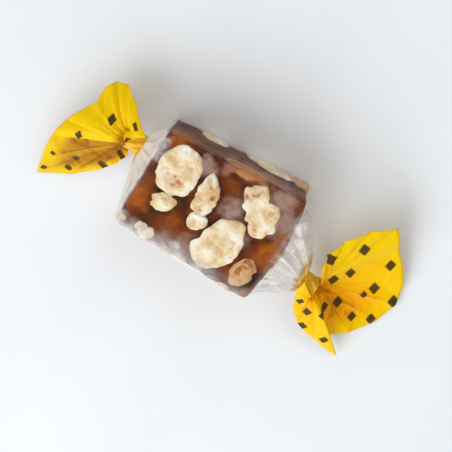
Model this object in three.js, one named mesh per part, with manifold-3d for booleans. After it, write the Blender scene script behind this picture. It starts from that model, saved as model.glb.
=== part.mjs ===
// A block of peanut nougat in a twist wrapper, at real size in millimetres, +Z up.
//
// The sweet lies on its flat underside. +X runs along the block. The wrapper is one sheet rolled
// round the block: its clear middle is modelled as one solid, film and contents together, down to
// the two twisted necks, and each printed end is a thin fan of folds that opens from its neck.
import * as THREE from 'three';
import { ParametricGeometry } from 'three/addons/geometries/ParametricGeometry.js';
import { mergeVertices } from 'three/addons/utils/BufferGeometryUtils.js';
import Module from 'manifold-3d';

const wasm = await Module();
wasm.setup();

// ---- Driving dimensions: millimetres, and degrees where named so -------------------------------

// The sawn block. Its ends lean by `skew` at each long side, and its front side opens by `splay`.
const BLOCK = { length: 31, width: 23, height: 17, skew: 1, splay: 1.3, edgeRadius: 1.6 };

// The clear film lies `slack` off the block and rounds its end edges by `bend`. Its wrinkles run
// along the block, and are pressed in by up to `wrinkle`: most near the ends, `middleShare` of
// that half way along.
const FILM = {
  slack: 0.3,
  bend: 0.8,
  wrinkle: 0.25,
  wrinklesRound: 14,
  radiansPerMm: 0.35,
  middleShare: 0.35,
};

// Between the block's ends and the necks the film is gathered into flutes, whose depth is a share
// of the film's distance from the middle, and turns by `turnDeg`.
const GATHER = { flutes: 16, depth: 0.17, turnDeg: 40 };

// The neck is a short twisted rope of film, and the tail starts a small gap beyond it.
const NECK = { radius: 2.3, length: 2.2, flutes: 8, fluteDepth: 0.14, height: 7.5, gap: 0.3 };

// A tail's sheet leaves its neck towards a point `lead` further out, less where a fold turns
// aside but never under `leastLead`, and then bends to its folds. Small pleats of depth `pleat`
// stand between the neck and the cut edge, each panel laps over its folds by the share `lap` of
// its width, and nothing comes lower than `floorGap` above the surface that the sweet lies on.
const TAIL = {
  wall: 0.5,
  lead: 3,
  leastLead: 1.2,
  pleat: 0.25,
  pleatsPerPanel: 1,
  lap: 0.02,
  floorGap: 0.3,
};

// The knot of film that all the folds of a tail run into.
const KNOT = { swell: 0.35, length: 2.1, shoulder: 0.6, shoulderAt: 0.85 };

// Each end of the sweet: where its neck is, which way it points, how full the clear film stands
// between it and the block, and the folds of its tail in the order of the sheet. A fold is
// [bearing from +X, rise above level, reach from the neck, bow of the panel that follows, lift of
// its arch], in degrees and millimetres. A positive bow bulges to the left of the way from fold to
// fold, seen from the neck with the head up. `ringDeg` is the stretch of the neck that the sheet
// is gathered on, measured from the side on the left when looking outward, and over the top.
const ENDS = {
  left: {
    neck: { x: -19.5, y: 4.2 },
    bearingDeg: 172,
    fullness: 0.85,
    ringDeg: { from: -60, to: 200 },
    folds: [
      [-98, -16, 3.7, -0.3, 0],
      [-107, -23, 7.6, 0.3, -0.5],
      [-116, -22, 12.2, 0.3, -1],
      [-125, -20, 18.7, 0.2, -1],
      [-134, -15, 25.1, -0.3, 0],
      [-142, -9, 21.5, -0.3, 0.5],
      [-156, -3, 18.1, -0.5, 3.5],
      [-171, 0, 15.2, -0.3, 5],
      [174, 4, 12.8, 0.3, 5],
      [160, 8, 11.5, 0.3, 4.5],
      [144, 2, 12.9, -0.4, 4],
      [134, 0, 13.1, -0.4, 4],
      [122, 5, 12.1, -0.4, 5],
      [111, 25, 9.4, -0.4, 7],
      [66, 62, 7.9, -0.3, 8],
      [167, 72, 6.3, 0, 4],
    ],
  },
  right: {
    neck: { x: 25.5, y: -6 },
    bearingDeg: -6,
    fullness: 0.62,
    ringDeg: { from: 150, to: 390 },
    folds: [
      [140, 68, 4.3, 0.2, 2],
      [-136, 50, 3.7, 0.3, 2.5],
      [-91, 0, 6.4, 0.3, 2.5],
      [-74, -13, 10.4, 0.3, 3],
      [-56, -16, 15.0, 0.3, 4.5],
      [-43, -17, 21.2, -0.5, 6.5],
      [-42, -17, 15.0, -0.4, 1],
      [-28, -18, 16.9, -0.4, -3],
      [-9, -18, 19.4, -0.4, -4],
      [8, -16, 21.3, -0.4, -4],
      [22, -14, 21.4, -0.3, -3],
      [48, -3, 20.3, 0.4, -1],
      [62, 5, 22.3, 0.5, 1],
      [71, 10, 18.0, 0.5, 2],
      [81, 17, 13.4, 0.4, 3],
      [89, 28, 9.6, 0.3, 4],
      [85, 43, 7.3, 0, 5],
    ],
  },
};

// How finely each surface is divided.
const DIVISIONS = {
  roundBlock: 72,
  alongBlock: 8,
  alongGather: 7,
  acrossPanel: 4,
  outTail: 6,
  roundKnot: 24,
};

const FINISHES = {
  wrappedBlock: { color: '#b98a5c', roughness: 0.25, metalness: 0 },
  printedFilm: { color: '#f2c305', roughness: 0.35, metalness: 0 },
};

// ---- Helpers -----------------------------------------------------------------------------------

// Points closer than this, in millimetres, are one.
const MERGE_WITHIN = 1e-3;
// Where panels cross, slivers of the joined tail thinner than this, in millimetres, are left out.
const SLIVERS_UNDER = 0.12;
const radians = THREE.MathUtils.degToRad;
const lerp = THREE.MathUtils.lerp;
const clamp01 = (value) => THREE.MathUtils.clamp(value, 0, 1);

// The unit vector at a bearing from +X and a rise above level, both in degrees.
function heading(bearingDeg, riseDeg = 0) {
  const bearing = radians(bearingDeg);
  const rise = radians(riseDeg);
  return new THREE.Vector3(
    Math.cos(rise) * Math.cos(bearing),
    Math.cos(rise) * Math.sin(bearing),
    Math.sin(rise),
  );
}

// A copy of a geometry that has only its positions, with its doubled vertices merged.
function mergedPositions(geometry) {
  const bare = geometry.clone();
  bare.deleteAttribute('normal');
  bare.deleteAttribute('uv');
  return mergeVertices(bare, MERGE_WITHIN);
}

// A closed surface given by a function of (u, v), without the triangles that collapse at its
// poles and edges.
function closedSurface(surface, slices, stacks) {
  const merged = mergedPositions(new ParametricGeometry(surface, slices, stacks));
  const corners = merged.index.array;
  const kept = [];
  for (let i = 0; i < corners.length; i += 3) {
    const [a, b, c] = corners.slice(i, i + 3);
    if (a !== b && b !== c && c !== a) kept.push(a, b, c);
  }
  merged.setIndex(kept);
  return merged;
}

// A closed geometry as a manifold-3d solid, and back again.
function toSolid(geometry) {
  const merged = mergedPositions(geometry);
  return new wasm.Manifold(new wasm.Mesh({
    numProp: 3,
    vertProperties: new Float32Array(merged.attributes.position.array),
    triVerts: new Uint32Array(merged.index.array),
  }));
}

function toGeometry(solid) {
  const { vertProperties, triVerts } = solid.getMesh();
  const geometry = new THREE.BufferGeometry();
  geometry.setAttribute('position', new THREE.BufferAttribute(new Float32Array(vertProperties), 3));
  geometry.setIndex(new THREE.BufferAttribute(new Uint32Array(triVerts), 1));
  return geometry;
}

function namedMesh(name, geometry, finish) {
  geometry.computeVertexNormals();
  const mesh = new THREE.Mesh(geometry, new THREE.MeshStandardMaterial(finish));
  mesh.name = name;
  return mesh;
}

// ---- The wrapped middle ------------------------------------------------------------------------

// The film's outline round the block: half its length, half its width and half its height.
const SHELL = {
  halfLength: BLOCK.length / 2 + FILM.slack,
  halfWidth: BLOCK.width / 2 + FILM.slack,
  halfHeight: BLOCK.height / 2 + FILM.slack,
};

// The point where a ray at `angle` from the middle leaves a rectangle with rounded corners.
function roundedRectangle(halfWidth, halfHeight, radius, angle) {
  const dx = Math.max(Math.abs(Math.cos(angle)), Number.EPSILON);
  const dy = Math.max(Math.abs(Math.sin(angle)), Number.EPSILON);
  const inner = { x: halfWidth - radius, y: halfHeight - radius };
  let reach = Math.min(halfWidth / dx, halfHeight / dy);
  if (reach * dx > inner.x && reach * dy > inner.y) {
    const along = inner.x * dx + inner.y * dy;
    const across = inner.x * dy - inner.y * dx;
    reach = along + Math.sqrt(Math.max(radius ** 2 - across ** 2, 0));
  }
  return { x: reach * Math.cos(angle), y: reach * Math.sin(angle) };
}

// A point of the film on the block, at a distance `along` it and an angle round it. `inset`
// draws the outline in where the film bends over an end edge.
function pointOnBlock(along, angle, inset = 0) {
  const { halfLength, halfWidth, halfHeight } = SHELL;
  const section = roundedRectangle(
    halfWidth - inset,
    halfHeight - inset,
    BLOCK.edgeRadius,
    angle,
  );
  const across = section.x / halfWidth;
  const front = Math.max(-across, 0);
  return new THREE.Vector3(
    along + BLOCK.skew * across,
    section.x - BLOCK.splay * front * (along / halfLength),
    section.y + halfHeight,
  );
}

// The film on the block at one distance along it. The wrinkles fade out down its sides, so that
// the underside stays flat.
function blockRing(along) {
  const towardsEnd = lerp(FILM.middleShare, 1, (along / SHELL.halfLength) ** 2);
  return (angle) => {
    const point = pointOnBlock(along, angle);
    const inward = new THREE.Vector3(point.x, 0, SHELL.halfHeight).sub(point).normalize();
    const aboveUnderside = clamp01((4 * point.z) / BLOCK.height);
    const wave = Math.sin(FILM.wrinklesRound * angle + FILM.radiansPerMm * along);
    const pressedIn = FILM.wrinkle * aboveUnderside * towardsEnd * (0.5 + 0.5 * wave);
    return point.addScaledVector(inward, pressedIn);
  };
}

// The neck's middle, the direction outward along the sweet, and the level one across it.
function endFrame(end) {
  const outward = heading(end.bearingDeg);
  const across = new THREE.Vector3(-outward.y, outward.x, 0);
  return { outward, across, neck: new THREE.Vector3(end.neck.x, end.neck.y, NECK.height) };
}

// A point round the twisted neck, `offset` outward from its middle. Angles are measured as they
// are on the block, so that the film between the two has the gather's turn and no other.
function neckPoint(end, offset, angle, radius) {
  const { outward, across, neck } = endFrame(end);
  const fluted = radius * (1 - NECK.fluteDepth * (0.5 - 0.5 * Math.cos(NECK.flutes * angle)));
  const turned = angle + radians(GATHER.turnDeg) * (1 + offset / NECK.length);
  return neck
    .clone()
    .addScaledVector(outward, offset)
    .addScaledVector(across, Math.sign(across.y) * fluted * Math.cos(turned))
    .setZ(neck.z + fluted * Math.sin(turned));
}

function neckRing(end, offset, radius = NECK.radius) {
  return (angle) => neckPoint(end, offset, angle, radius);
}

// The film between the block's end and the neck. `share` is 0 at the block and 1 at the neck.
function gatherRing(end, share) {
  const blockEnd = Math.sign(end.neck.x) * SHELL.halfLength;
  const drawnIn = 1 - (1 - share) ** end.fullness;
  const depth = GATHER.depth * 4 * share * (1 - share);
  return (angle) => {
    const start = pointOnBlock(blockEnd, angle, FILM.bend);
    const finish = neckPoint(end, -NECK.length / 2, angle, NECK.radius);
    const point = new THREE.Vector3(
      lerp(start.x, finish.x, share),
      lerp(start.y, finish.y, drawnIn),
      lerp(start.z, finish.z, drawnIn),
    );
    const middle = new THREE.Vector3(
      point.x,
      lerp(0, end.neck.y, drawnIn),
      lerp(SHELL.halfHeight, NECK.height, drawnIn),
    );
    return point.lerp(middle, depth * Math.abs(Math.sin(0.5 * GATHER.flutes * angle)));
  };
}

// The rings from the block's end out to the middle of the neck's end face.
function endRings(end) {
  const rings = [];
  for (let i = 0; i < DIVISIONS.alongGather; i += 1) {
    rings.push(gatherRing(end, i / DIVISIONS.alongGather));
  }
  rings.push(neckRing(end, -NECK.length / 2));
  rings.push(neckRing(end, NECK.length / 2));
  rings.push(neckRing(end, NECK.length / 2, 0));
  return rings;
}

function wrappedBlock() {
  const reach = SHELL.halfLength - FILM.bend;
  const middleRings = [];
  for (let i = 0; i <= DIVISIONS.alongBlock; i += 1) {
    middleRings.push(blockRing(lerp(-reach, reach, i / DIVISIONS.alongBlock)));
  }
  const rings = [...endRings(ENDS.left).reverse(), ...middleRings, ...endRings(ENDS.right)];
  const sides = DIVISIONS.roundBlock;
  const last = rings.length - 1;
  return closedSurface((u, v, target) => {
    const angle = 2 * Math.PI * ((Math.round(u * sides) % sides) / sides);
    target.copy(rings[Math.round(v * last)](angle));
  }, sides, last);
}

// ---- The printed tails -------------------------------------------------------------------------

// A pleat's depth along the sheet: none at the neck or the cut edge, and 1 a third of the way out.
function pleatShape(out) {
  return (27 / 4) * out * (1 - out) ** 2;
}

// The ends of a tail's folds, from the neck.
function foldEnds(end) {
  return end.folds.map(([bearing, rise, reach]) => heading(bearing, rise).multiplyScalar(reach));
}

// Where each fold first heads from its root: outward, less where the fold turns aside, and up.
function foldLeads(end) {
  const { outward } = endFrame(end);
  return end.folds.map(([bearing, , , , lift]) => {
    const lead = Math.max(TAIL.lead * heading(bearing).dot(outward), TAIL.leastLead);
    return outward.clone().multiplyScalar(lead).setZ(lift);
  });
}

// The middle surface of one panel of a tail's sheet. `within` runs from the panel's own fold to
// the next one, and `out` from the neck to the cut edge. A panel arches from the neck with a bow,
// and its cut edge is straight from fold to fold.
function panelSheet(end, panel) {
  const { outward, across, neck } = endFrame(end);
  const rootOffset = NECK.length / 2 + NECK.gap + TAIL.wall / 2;
  const rootRadius = NECK.radius - TAIL.wall / 2;
  const [first, second] = foldEnds(end).slice(panel, panel + 2);
  const [firstLead, secondLead] = foldLeads(end).slice(panel, panel + 2);
  const facing = new THREE.Vector3().crossVectors(first, second).normalize();
  const bow = end.folds[panel][3];
  return (within, out) => {
    const share = (panel + within) / (end.folds.length - 1);
    const ringAngle = radians(lerp(end.ringDeg.from, end.ringDeg.to, share));
    const root = outward
      .clone()
      .multiplyScalar(rootOffset)
      .addScaledVector(across, rootRadius * Math.cos(ringAngle))
      .setZ(rootRadius * Math.sin(ringAngle));
    const lead = firstLead.clone().lerp(secondLead, within).add(root);
    const edge = first.clone().lerp(second, within);
    const bulge = bow * Math.sin(Math.PI * within) * out;
    const pleat = TAIL.pleat * Math.sin(2 * Math.PI * TAIL.pleatsPerPanel * within);
    const point = root
      .multiplyScalar((1 - out) ** 2)
      .addScaledVector(lead, 2 * (1 - out) * out)
      .addScaledVector(edge, out ** 2)
      .addScaledVector(facing, bulge + pleat * pleatShape(out))
      .add(neck);
    return point.setZ(Math.max(point.z, TAIL.floorGap));
  };
}

// A panel as a solid of the film's thickness, lapped over its neighbours at the folds. The first
// and last column and row of its grid run along the middle of its square edges and close them.
function panelSolid(end, panel) {
  const sheet = panelSheet(end, panel);
  const step = 1e-3;
  const offsetAt = (within, out, side) => {
    const du = sheet(within + step, out).sub(sheet(within - step, out));
    const dv = sheet(within, out + step).sub(sheet(within, out - step));
    return du.cross(dv).normalize().multiplyScalar(0.5 * side * TAIL.wall);
  };
  const columns = DIVISIONS.acrossPanel;
  const rows = DIVISIONS.outTail;
  const slices = columns + 2;
  const stacks = 2 * (rows + 2);
  return toSolid(closedSurface((u, v, target) => {
    const column = Math.round(u * slices) - 1;
    const turn = Math.round(v * stacks) % stacks;
    const row = Math.min(turn, stacks - turn) - 1;
    const within = lerp(-TAIL.lap, 1 + TAIL.lap, clamp01(column / columns));
    const out = clamp01(row / rows);
    const closesEdge = column < 0 || column > columns || row < 0 || row > rows;
    target.copy(sheet(within, out));
    if (!closesEdge) target.add(offsetAt(within, out, 2 * turn < stacks ? 1 : -1));
  }, slices, stacks));
}

// The knot at the root of a tail: a short swollen disc that closes to a low dome.
function knot(end) {
  const { outward, neck } = endFrame(end);
  const widest = NECK.radius + KNOT.swell;
  const profile = [
    new THREE.Vector2(0, 0),
    new THREE.Vector2(NECK.radius, 0),
    new THREE.Vector2(widest, KNOT.length / 4),
    new THREE.Vector2(widest, KNOT.length / 2),
    new THREE.Vector2(widest * KNOT.shoulder, KNOT.length * KNOT.shoulderAt),
    new THREE.Vector2(0, KNOT.length),
  ];
  const geometry = new THREE.LatheGeometry(profile, DIVISIONS.roundKnot);
  const upright = new THREE.Vector3(0, 1, 0);
  const start = neck.clone().addScaledVector(outward, NECK.length / 2 + NECK.gap);
  geometry.applyQuaternion(new THREE.Quaternion().setFromUnitVectors(upright, outward));
  geometry.translate(start.x, start.y, start.z);
  return geometry;
}

// The panels and the knot as one body. Where they close on each other the pocket is filled.
function tail(end) {
  const panels = end.folds.slice(1).map((_, panel) => panelSolid(end, panel));
  const joined = wasm.Manifold.union([...panels, toSolid(knot(end))]).simplify(SLIVERS_UNDER);
  const merged = toSolid(toGeometry(joined));
  const [body] = merged.decompose().sort((a, b) => b.volume() - a.volume());
  return toGeometry(body);
}

// ---- Assembly ----------------------------------------------------------------------------------

// The origin is under the middle of the whole sweet, on the face that it rests on.
function standOnOrigin(geometries) {
  const box = new THREE.Box3();
  geometries.forEach((geometry) => {
    geometry.computeBoundingBox();
    box.union(geometry.boundingBox);
  });
  const middle = box.getCenter(new THREE.Vector3());
  geometries.forEach((geometry) => geometry.translate(-middle.x, -middle.y, -box.min.z));
}

const blockGeometry = wrappedBlock();
const leftGeometry = tail(ENDS.left);
const rightGeometry = tail(ENDS.right);
standOnOrigin([blockGeometry, leftGeometry, rightGeometry]);

const sweet = new THREE.Group();
sweet.name = 'nougat_block';
sweet.add(
  namedMesh('wrapped_block', blockGeometry, FINISHES.wrappedBlock),
  namedMesh('twist_left', leftGeometry, FINISHES.printedFilm),
  namedMesh('twist_right', rightGeometry, FINISHES.printedFilm),
);

export default sweet;
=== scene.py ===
"""Looks of a block of peanut nougat in a twist wrapper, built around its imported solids.

The wrapper is one sheet of film: its clear middle is drawn tight over the nougat and gathered
into two twisted necks, and its printed ends open from the necks as fans of folds. Lengths are in
metres in the part's own frame: +X along the block, +Z up, and the sweet lies on z = 0.
"""

import logging
import math
import random
from dataclasses import dataclass, field
from enum import Enum
from typing import Callable, Sequence

import bmesh
import bpy
from mathutils import Matrix, Vector, noise


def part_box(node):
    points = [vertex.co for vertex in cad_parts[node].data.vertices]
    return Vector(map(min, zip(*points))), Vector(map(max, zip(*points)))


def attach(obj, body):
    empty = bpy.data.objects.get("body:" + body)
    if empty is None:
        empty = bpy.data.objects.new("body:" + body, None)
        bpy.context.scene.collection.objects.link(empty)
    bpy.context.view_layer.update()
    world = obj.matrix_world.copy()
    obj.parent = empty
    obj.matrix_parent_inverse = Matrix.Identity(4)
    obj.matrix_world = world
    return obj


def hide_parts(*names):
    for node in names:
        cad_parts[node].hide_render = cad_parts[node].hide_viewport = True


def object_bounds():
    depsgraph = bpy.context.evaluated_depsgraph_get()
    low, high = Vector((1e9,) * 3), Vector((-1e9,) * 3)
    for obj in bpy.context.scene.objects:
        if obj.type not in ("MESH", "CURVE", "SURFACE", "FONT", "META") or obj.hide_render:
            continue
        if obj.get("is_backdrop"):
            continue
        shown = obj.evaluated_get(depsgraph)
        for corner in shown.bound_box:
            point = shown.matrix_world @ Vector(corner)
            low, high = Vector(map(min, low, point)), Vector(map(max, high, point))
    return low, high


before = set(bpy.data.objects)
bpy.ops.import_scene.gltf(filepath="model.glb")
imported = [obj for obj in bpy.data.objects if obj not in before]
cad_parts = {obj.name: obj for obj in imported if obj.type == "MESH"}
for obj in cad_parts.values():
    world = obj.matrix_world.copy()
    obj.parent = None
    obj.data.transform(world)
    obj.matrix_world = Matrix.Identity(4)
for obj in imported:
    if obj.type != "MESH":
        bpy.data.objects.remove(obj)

logging.basicConfig(level=logging.INFO, format="%(message)s")
log = logging.getLogger("nougat")

MM = 0.001
BODY = "root"
NEAR_ZERO = 1e-9
MERGE_DISTANCE = 1e-7
STRAIGHT_FROM = 30.0

Colour = tuple[float, float, float, float]
Ring = Callable[[float], Vector]


class Slot(Enum):
    """The record's material slots."""

    CLEAR_FILM = "clear_film"
    PRINTED_FILM = "printed_film"
    NOUGAT = "nougat"
    PEANUT = "peanut"


class Mark(Enum):
    """Values painted on the vertices, which the finishes read."""

    HAZE_AND_SHEEN = "haze_and_sheen"
    PRINT = "print"
    STAIN = "stain"
    GLOW = "painted_glow"
    PAINTED_REFLECTION = "painted_reflection"
    PAINTED_SHADE = "painted_shade"
    INK = "ink"
    RIM_SHADOW = "rim_shadow"


# ---- Small helpers -----------------------------------------------------------------------------


def linear(hex_code: str) -> Colour:
    """Turns an sRGB hex colour into linear values.

    Args:
        hex_code: Six hex digits after a hash.

    Returns:
        Red, green, blue and an alpha of 1.
    """
    channels = [int(hex_code[i : i + 2], 16) / 255 for i in (1, 3, 5)]
    return (*[c / 12.92 if c <= 0.04045 else ((c + 0.055) / 1.055) ** 2.4 for c in channels], 1.0)


def mix(a: float, b: float, share: float) -> float:
    """Returns the value a share of the way from a to b."""
    return a + (b - a) * share


def clamp(value: float, low: float = 0.0, high: float = 1.0) -> float:
    """Returns the value held between two limits."""
    return max(low, min(high, value))


def smooth(low: float, high: float, value: float) -> float:
    """Returns 0 below low, 1 above high and an even S-curve between them."""
    share = clamp((value - low) / (high - low))
    return share * share * (3 - 2 * share)


def soft_plus(value: float, softness: float) -> float:
    """Returns the value where it is well above 0, and eases to 0 below."""
    share = value / softness
    return value if share > STRAIGHT_FROM else softness * math.log1p(math.exp(share))


def triangle(phase: float) -> float:
    """Returns a triangle wave from -1 to 1 with a period of 1."""
    return 4 * abs(phase - math.floor(phase) - 0.5) - 1


def heading(bearing_deg: float, rise_deg: float = 0.0) -> Vector:
    """Finds the unit vector of a direction.

    Args:
        bearing_deg: Its bearing from +X, in degrees.
        rise_deg: Its rise above level, in degrees.

    Returns:
        The vector.
    """
    bearing, rise = math.radians(bearing_deg), math.radians(rise_deg)
    level = math.cos(rise)
    return Vector((level * math.cos(bearing), level * math.sin(bearing), math.sin(rise)))


@dataclass(frozen=True)
class Creases:
    """The crisp folds of crumpled film: triangle waves in seeded directions, one bent by the next.

    Attributes:
        seed: Seed of the directions and phases.
        spacing: Distance between the coarsest creases, in metres.
        octaves: Number of scales, each half as coarse and as deep as the last.
        stretch: How many times longer the creases are along the second axis.
        directions: Number of waves in each scale.
        spread: Least and most that a wave's own spacing departs from the scale's.
        bend: How much each wave is bent by the one before.
    """

    seed: int
    spacing: float
    octaves: int = 3
    stretch: float = 1.0
    directions: int = 3
    spread: tuple[float, float] = (0.75, 1.3)
    bend: float = 0.35
    waves: list[tuple[float, float, float, float]] = field(init=False, repr=False)

    def __post_init__(self) -> None:
        """Draws the waves once."""
        draw = random.Random(self.seed)
        waves = []
        for octave in range(self.octaves):
            for _ in range(self.directions):
                angle = draw.uniform(0, math.pi)
                scale = draw.uniform(*self.spread) * 2**octave / self.spacing
                turn = (math.cos(angle) * scale, math.sin(angle) * scale / self.stretch)
                waves.append((*turn, draw.random(), 0.5**octave))
        object.__setattr__(self, "waves", waves)

    def at(self, u: float, v: float) -> float:
        """Finds the height of the crumple at a point of the sheet.

        Args:
            u: The point's first coordinate, in the unit of the spacing.
            v: Its second coordinate.

        Returns:
            The height, about -1 to 1.
        """
        height = total = bent = 0.0
        for across, along, phase, weight in self.waves:
            bent = triangle(u * across + v * along + phase + self.bend * bent)
            height += weight * bent
            total += weight
        return height / total


# ---- Meshes ------------------------------------------------------------------------------------


def make_piece(name: str, shape: bmesh.types.BMesh, finish: bpy.types.Material, slot: Slot,
               *nodes: str) -> bpy.types.Object:
    """Turns a finished bmesh into a piece that rides with the part.

    Args:
        name: Name of the piece.
        shape: Its mesh, in place. It is freed.
        finish: Its material.
        slot: The record's slot that the finish stands for; not used.
        *nodes: The solids that the piece replaces.

    Returns:
        The new object, at the origin and unturned.
    """
    for face in shape.faces:
        face.smooth = True
    mesh = bpy.data.meshes.new(name)
    shape.to_mesh(mesh)
    shape.free()
    mesh.materials.append(finish)
    piece = bpy.data.objects.new(name, mesh)
    bpy.context.scene.collection.objects.link(piece)
    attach(piece, BODY)
    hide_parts(*nodes)
    log.info("%s: %d faces", name, len(mesh.polygons))
    return piece


# ---- The form of the wrapped block --------------------------------------------------------------


@dataclass(frozen=True)
class BlockForm:
    """The sawn block and the film's outline on it, in block coordinates.

    Block coordinates have their origin under the block's middle. Straight coordinates are those
    before the block's ends lean and its front side opens.

    Attributes:
        length: Length of the nougat.
        width: Its width.
        height: Its height.
        skew: How far its ends lean along the block, at its long sides.
        splay: How far the front side opens towards the +X end.
        edge_radius: Radius of the film along the block's long edges.
        slack: Room between the nougat and the film.
        bend: How far the film rounds over at the ends.
        bulge: How far the +X end swells out in its middle.
        bulge_over: How far above the block the swelling's round would close.
        bulge_aside: How far to the front its middle lies.
        bulge_reach: How far behind the end face the swelling begins and is full.
        bulge_sag: How much the swelling draws the top edge down, as a share of it.
        sag_heights: Heights, as shares of half the block's, over which it begins to sag.
    """

    length: float = 31 * MM
    width: float = 23 * MM
    height: float = 17 * MM
    skew: float = 1 * MM
    splay: float = 1.3 * MM
    edge_radius: float = 1.6 * MM
    slack: float = 0.3 * MM
    bend: float = 0.8 * MM
    bulge: float = 2.2 * MM
    bulge_over: float = 2.2 * MM
    bulge_aside: float = 0.5 * MM
    bulge_reach: tuple[float, float] = (2.5 * MM, 0.3 * MM)
    bulge_sag: float = 1.2
    sag_heights: tuple[float, float] = (0.2, 0.8)

    def bulged(self, point: Vector) -> Vector:
        """Pushes a point of the block's +X end out to a low dome.

        Args:
            point: The point, in straight coordinates.

        Returns:
            Where it comes to lie, in straight coordinates.
        """
        up = (point.z - self.height / 2) / (self.height / 2 + self.bulge_over)
        across = (point.y + self.bulge_aside) / (self.width / 2)
        dome = math.sqrt(max(0.0, 1 - up * up)) * max(0.0, 1 - across * across)
        begins, full = (self.length / 2 - back for back in self.bulge_reach)
        out = self.bulge * dome * smooth(begins, full, point.x)
        return point + Vector((out, 0, -self.bulge_sag * out * smooth(*self.sag_heights, up)))

    @property
    def half(self) -> Vector:
        """Half the film's length, width and height."""
        return Vector((self.length, self.width, self.height)) / 2 + Vector((self.slack,) * 3)

    def lean(self, point: Vector) -> Vector:
        """Takes a point from straight to block coordinates.

        Args:
            point: The point, in straight coordinates.

        Returns:
            The point in block coordinates.
        """
        half = self.half
        across = point.y / half.y
        front = max(-across, 0.0)
        return Vector((
            point.x + self.skew * across,
            point.y - self.splay * front * point.x / half.x,
            point.z,
        ))

    def straight(self, point: Vector) -> Vector:
        """Takes a point from block to straight coordinates.

        Args:
            point: The point, in block coordinates.

        Returns:
            The point in straight coordinates.
        """
        along = point.x - self.skew * point.y / self.half.y
        opening = 1 + self.splay * along / self.half.x / self.half.y
        across = point.y / opening if point.y < 0 else point.y
        return Vector((point.x - self.skew * across / self.half.y, across, point.z))

    def section(self, angle: float, inset: float = 0.0) -> tuple[float, float]:
        """Finds where a ray from the section's middle leaves the film's rounded rectangle.

        Args:
            angle: Direction round the block, 0 towards +Y.
            inset: How far the outline is drawn in.

        Returns:
            The way across and the way up from the middle.
        """
        half_width, half_height = self.half.y - inset, self.half.z - inset
        dx = max(abs(math.cos(angle)), NEAR_ZERO)
        dy = max(abs(math.sin(angle)), NEAR_ZERO)
        inner_x, inner_y = half_width - self.edge_radius, half_height - self.edge_radius
        reach = min(half_width / dx, half_height / dy)
        if reach * dx > inner_x and reach * dy > inner_y:
            along = inner_x * dx + inner_y * dy
            across = inner_x * dy - inner_y * dx
            reach = along + math.sqrt(max(self.edge_radius**2 - across**2, 0.0))
        return reach * math.cos(angle), reach * math.sin(angle)

    def film_point(self, along: float, angle: float, inset: float = 0.0) -> Vector:
        """Returns a point of the film on the block, in block coordinates."""
        across, up = self.section(angle, inset)
        return self.lean(Vector((along, across, up + self.half.z)))


@dataclass(frozen=True)
class Fold:
    """One fold of a tail, from the neck to the cut edge, in degrees and mm.

    Attributes:
        bearing: Its bearing from +X.
        rise: Its rise above level.
        reach: How far its end is from the neck.
        bow: How far the panel after it bows out.
        lift: How high it arches on its way.
        shade: How much painted shade the panel gets for lying in the shade of the others, 0 to 1.
    """

    bearing: float
    rise: float
    reach: float
    bow: float
    lift: float
    shade: float = 0.0

    @property
    def edge(self) -> Vector:
        """The fold's end, from the neck."""
        return heading(self.bearing, self.rise) * self.reach * MM


@dataclass(frozen=True)
class Neck:
    """The twisted rope of film at one end, and how the film is drawn in to it.

    Attributes:
        x: Where its middle is along the block.
        y: Where its middle is across the block.
        bearing: Which way it points, in degrees.
        fullness: How full the film stands between the block and the neck.
        radius: Radius of the rope.
        length: Its length.
        flutes: Number of folds round it.
        flute_depth: Their depth, as a share of the radius.
        height: How high its middle lies.
        gap: Gap between its end and the tail's solid.
        turn: How far it twists over half its length, in radians.
    """

    x: float
    y: float
    bearing: float
    fullness: float
    radius: float = 2.3 * MM
    length: float = 2.2 * MM
    flutes: int = 8
    flute_depth: float = 0.14
    height: float = 7.5 * MM
    gap: float = 0.3 * MM
    turn: float = math.radians(40)

    @property
    def middle(self) -> Vector:
        """The neck's middle."""
        return Vector((self.x, self.y, self.height))

    @property
    def outward(self) -> Vector:
        """The direction away from the block."""
        return heading(self.bearing)

    @property
    def across(self) -> Vector:
        """The level direction across the neck."""
        return Vector((-self.outward.y, self.outward.x, 0))

    @property
    def side(self) -> float:
        """1 at the block's +X end and -1 at its other end."""
        return math.copysign(1, self.x)

    def rope(self, offset: float, angle: float, share: float = 1.0) -> Vector:
        """Returns a point round the neck.

        Args:
            offset: How far outward from the middle.
            angle: Direction round the neck, measured as on the block.
            share: Share of the neck's radius.

        Returns:
            The point in block coordinates.
        """
        flute = 1 - self.flute_depth * (0.5 - 0.5 * math.cos(self.flutes * angle))
        reach = self.radius * flute * share
        turned = angle + self.turn * (1 + offset / self.length)
        sideways = math.copysign(reach, self.across.y) * math.cos(turned)
        rise = Vector((0, 0, reach * math.sin(turned)))
        return self.middle + self.outward * offset + self.across * sideways + rise


# ---- Finishes ----------------------------------------------------------------------------------


def add_node(tree: bpy.types.NodeTree, kind: str, inputs: dict | None = None,
             **settings: object) -> bpy.types.Node:
    """Adds a node with its settings and links.

    Args:
        tree: The material's node tree.
        kind: Blender's name for the node.
        inputs: For each socket, by name or number, the socket to link or the value to set.
        **settings: Other properties of the node.

    Returns:
        The node.
    """
    node = tree.nodes.new(kind)
    for name, value in settings.items():
        setattr(node, name, value)
    for socket, value in (inputs or {}).items():
        if isinstance(value, bpy.types.NodeSocket):
            tree.links.new(value, node.inputs[socket])
        else:
            node.inputs[socket].default_value = value
    return node


def new_material(name: str) -> tuple[bpy.types.Material, bpy.types.NodeTree]:
    """Makes an empty node material.

    Args:
        name: Its name.

    Returns:
        The material and its node tree.
    """
    material = bpy.data.materials.new(name)
    material.use_nodes = True
    material.node_tree.nodes.clear()
    return material, material.node_tree


def show(tree: bpy.types.NodeTree, shader: bpy.types.NodeSocket) -> None:
    """Links a shader to the material's output."""
    add_node(tree, "ShaderNodeOutputMaterial", {"Surface": shader})


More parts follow.
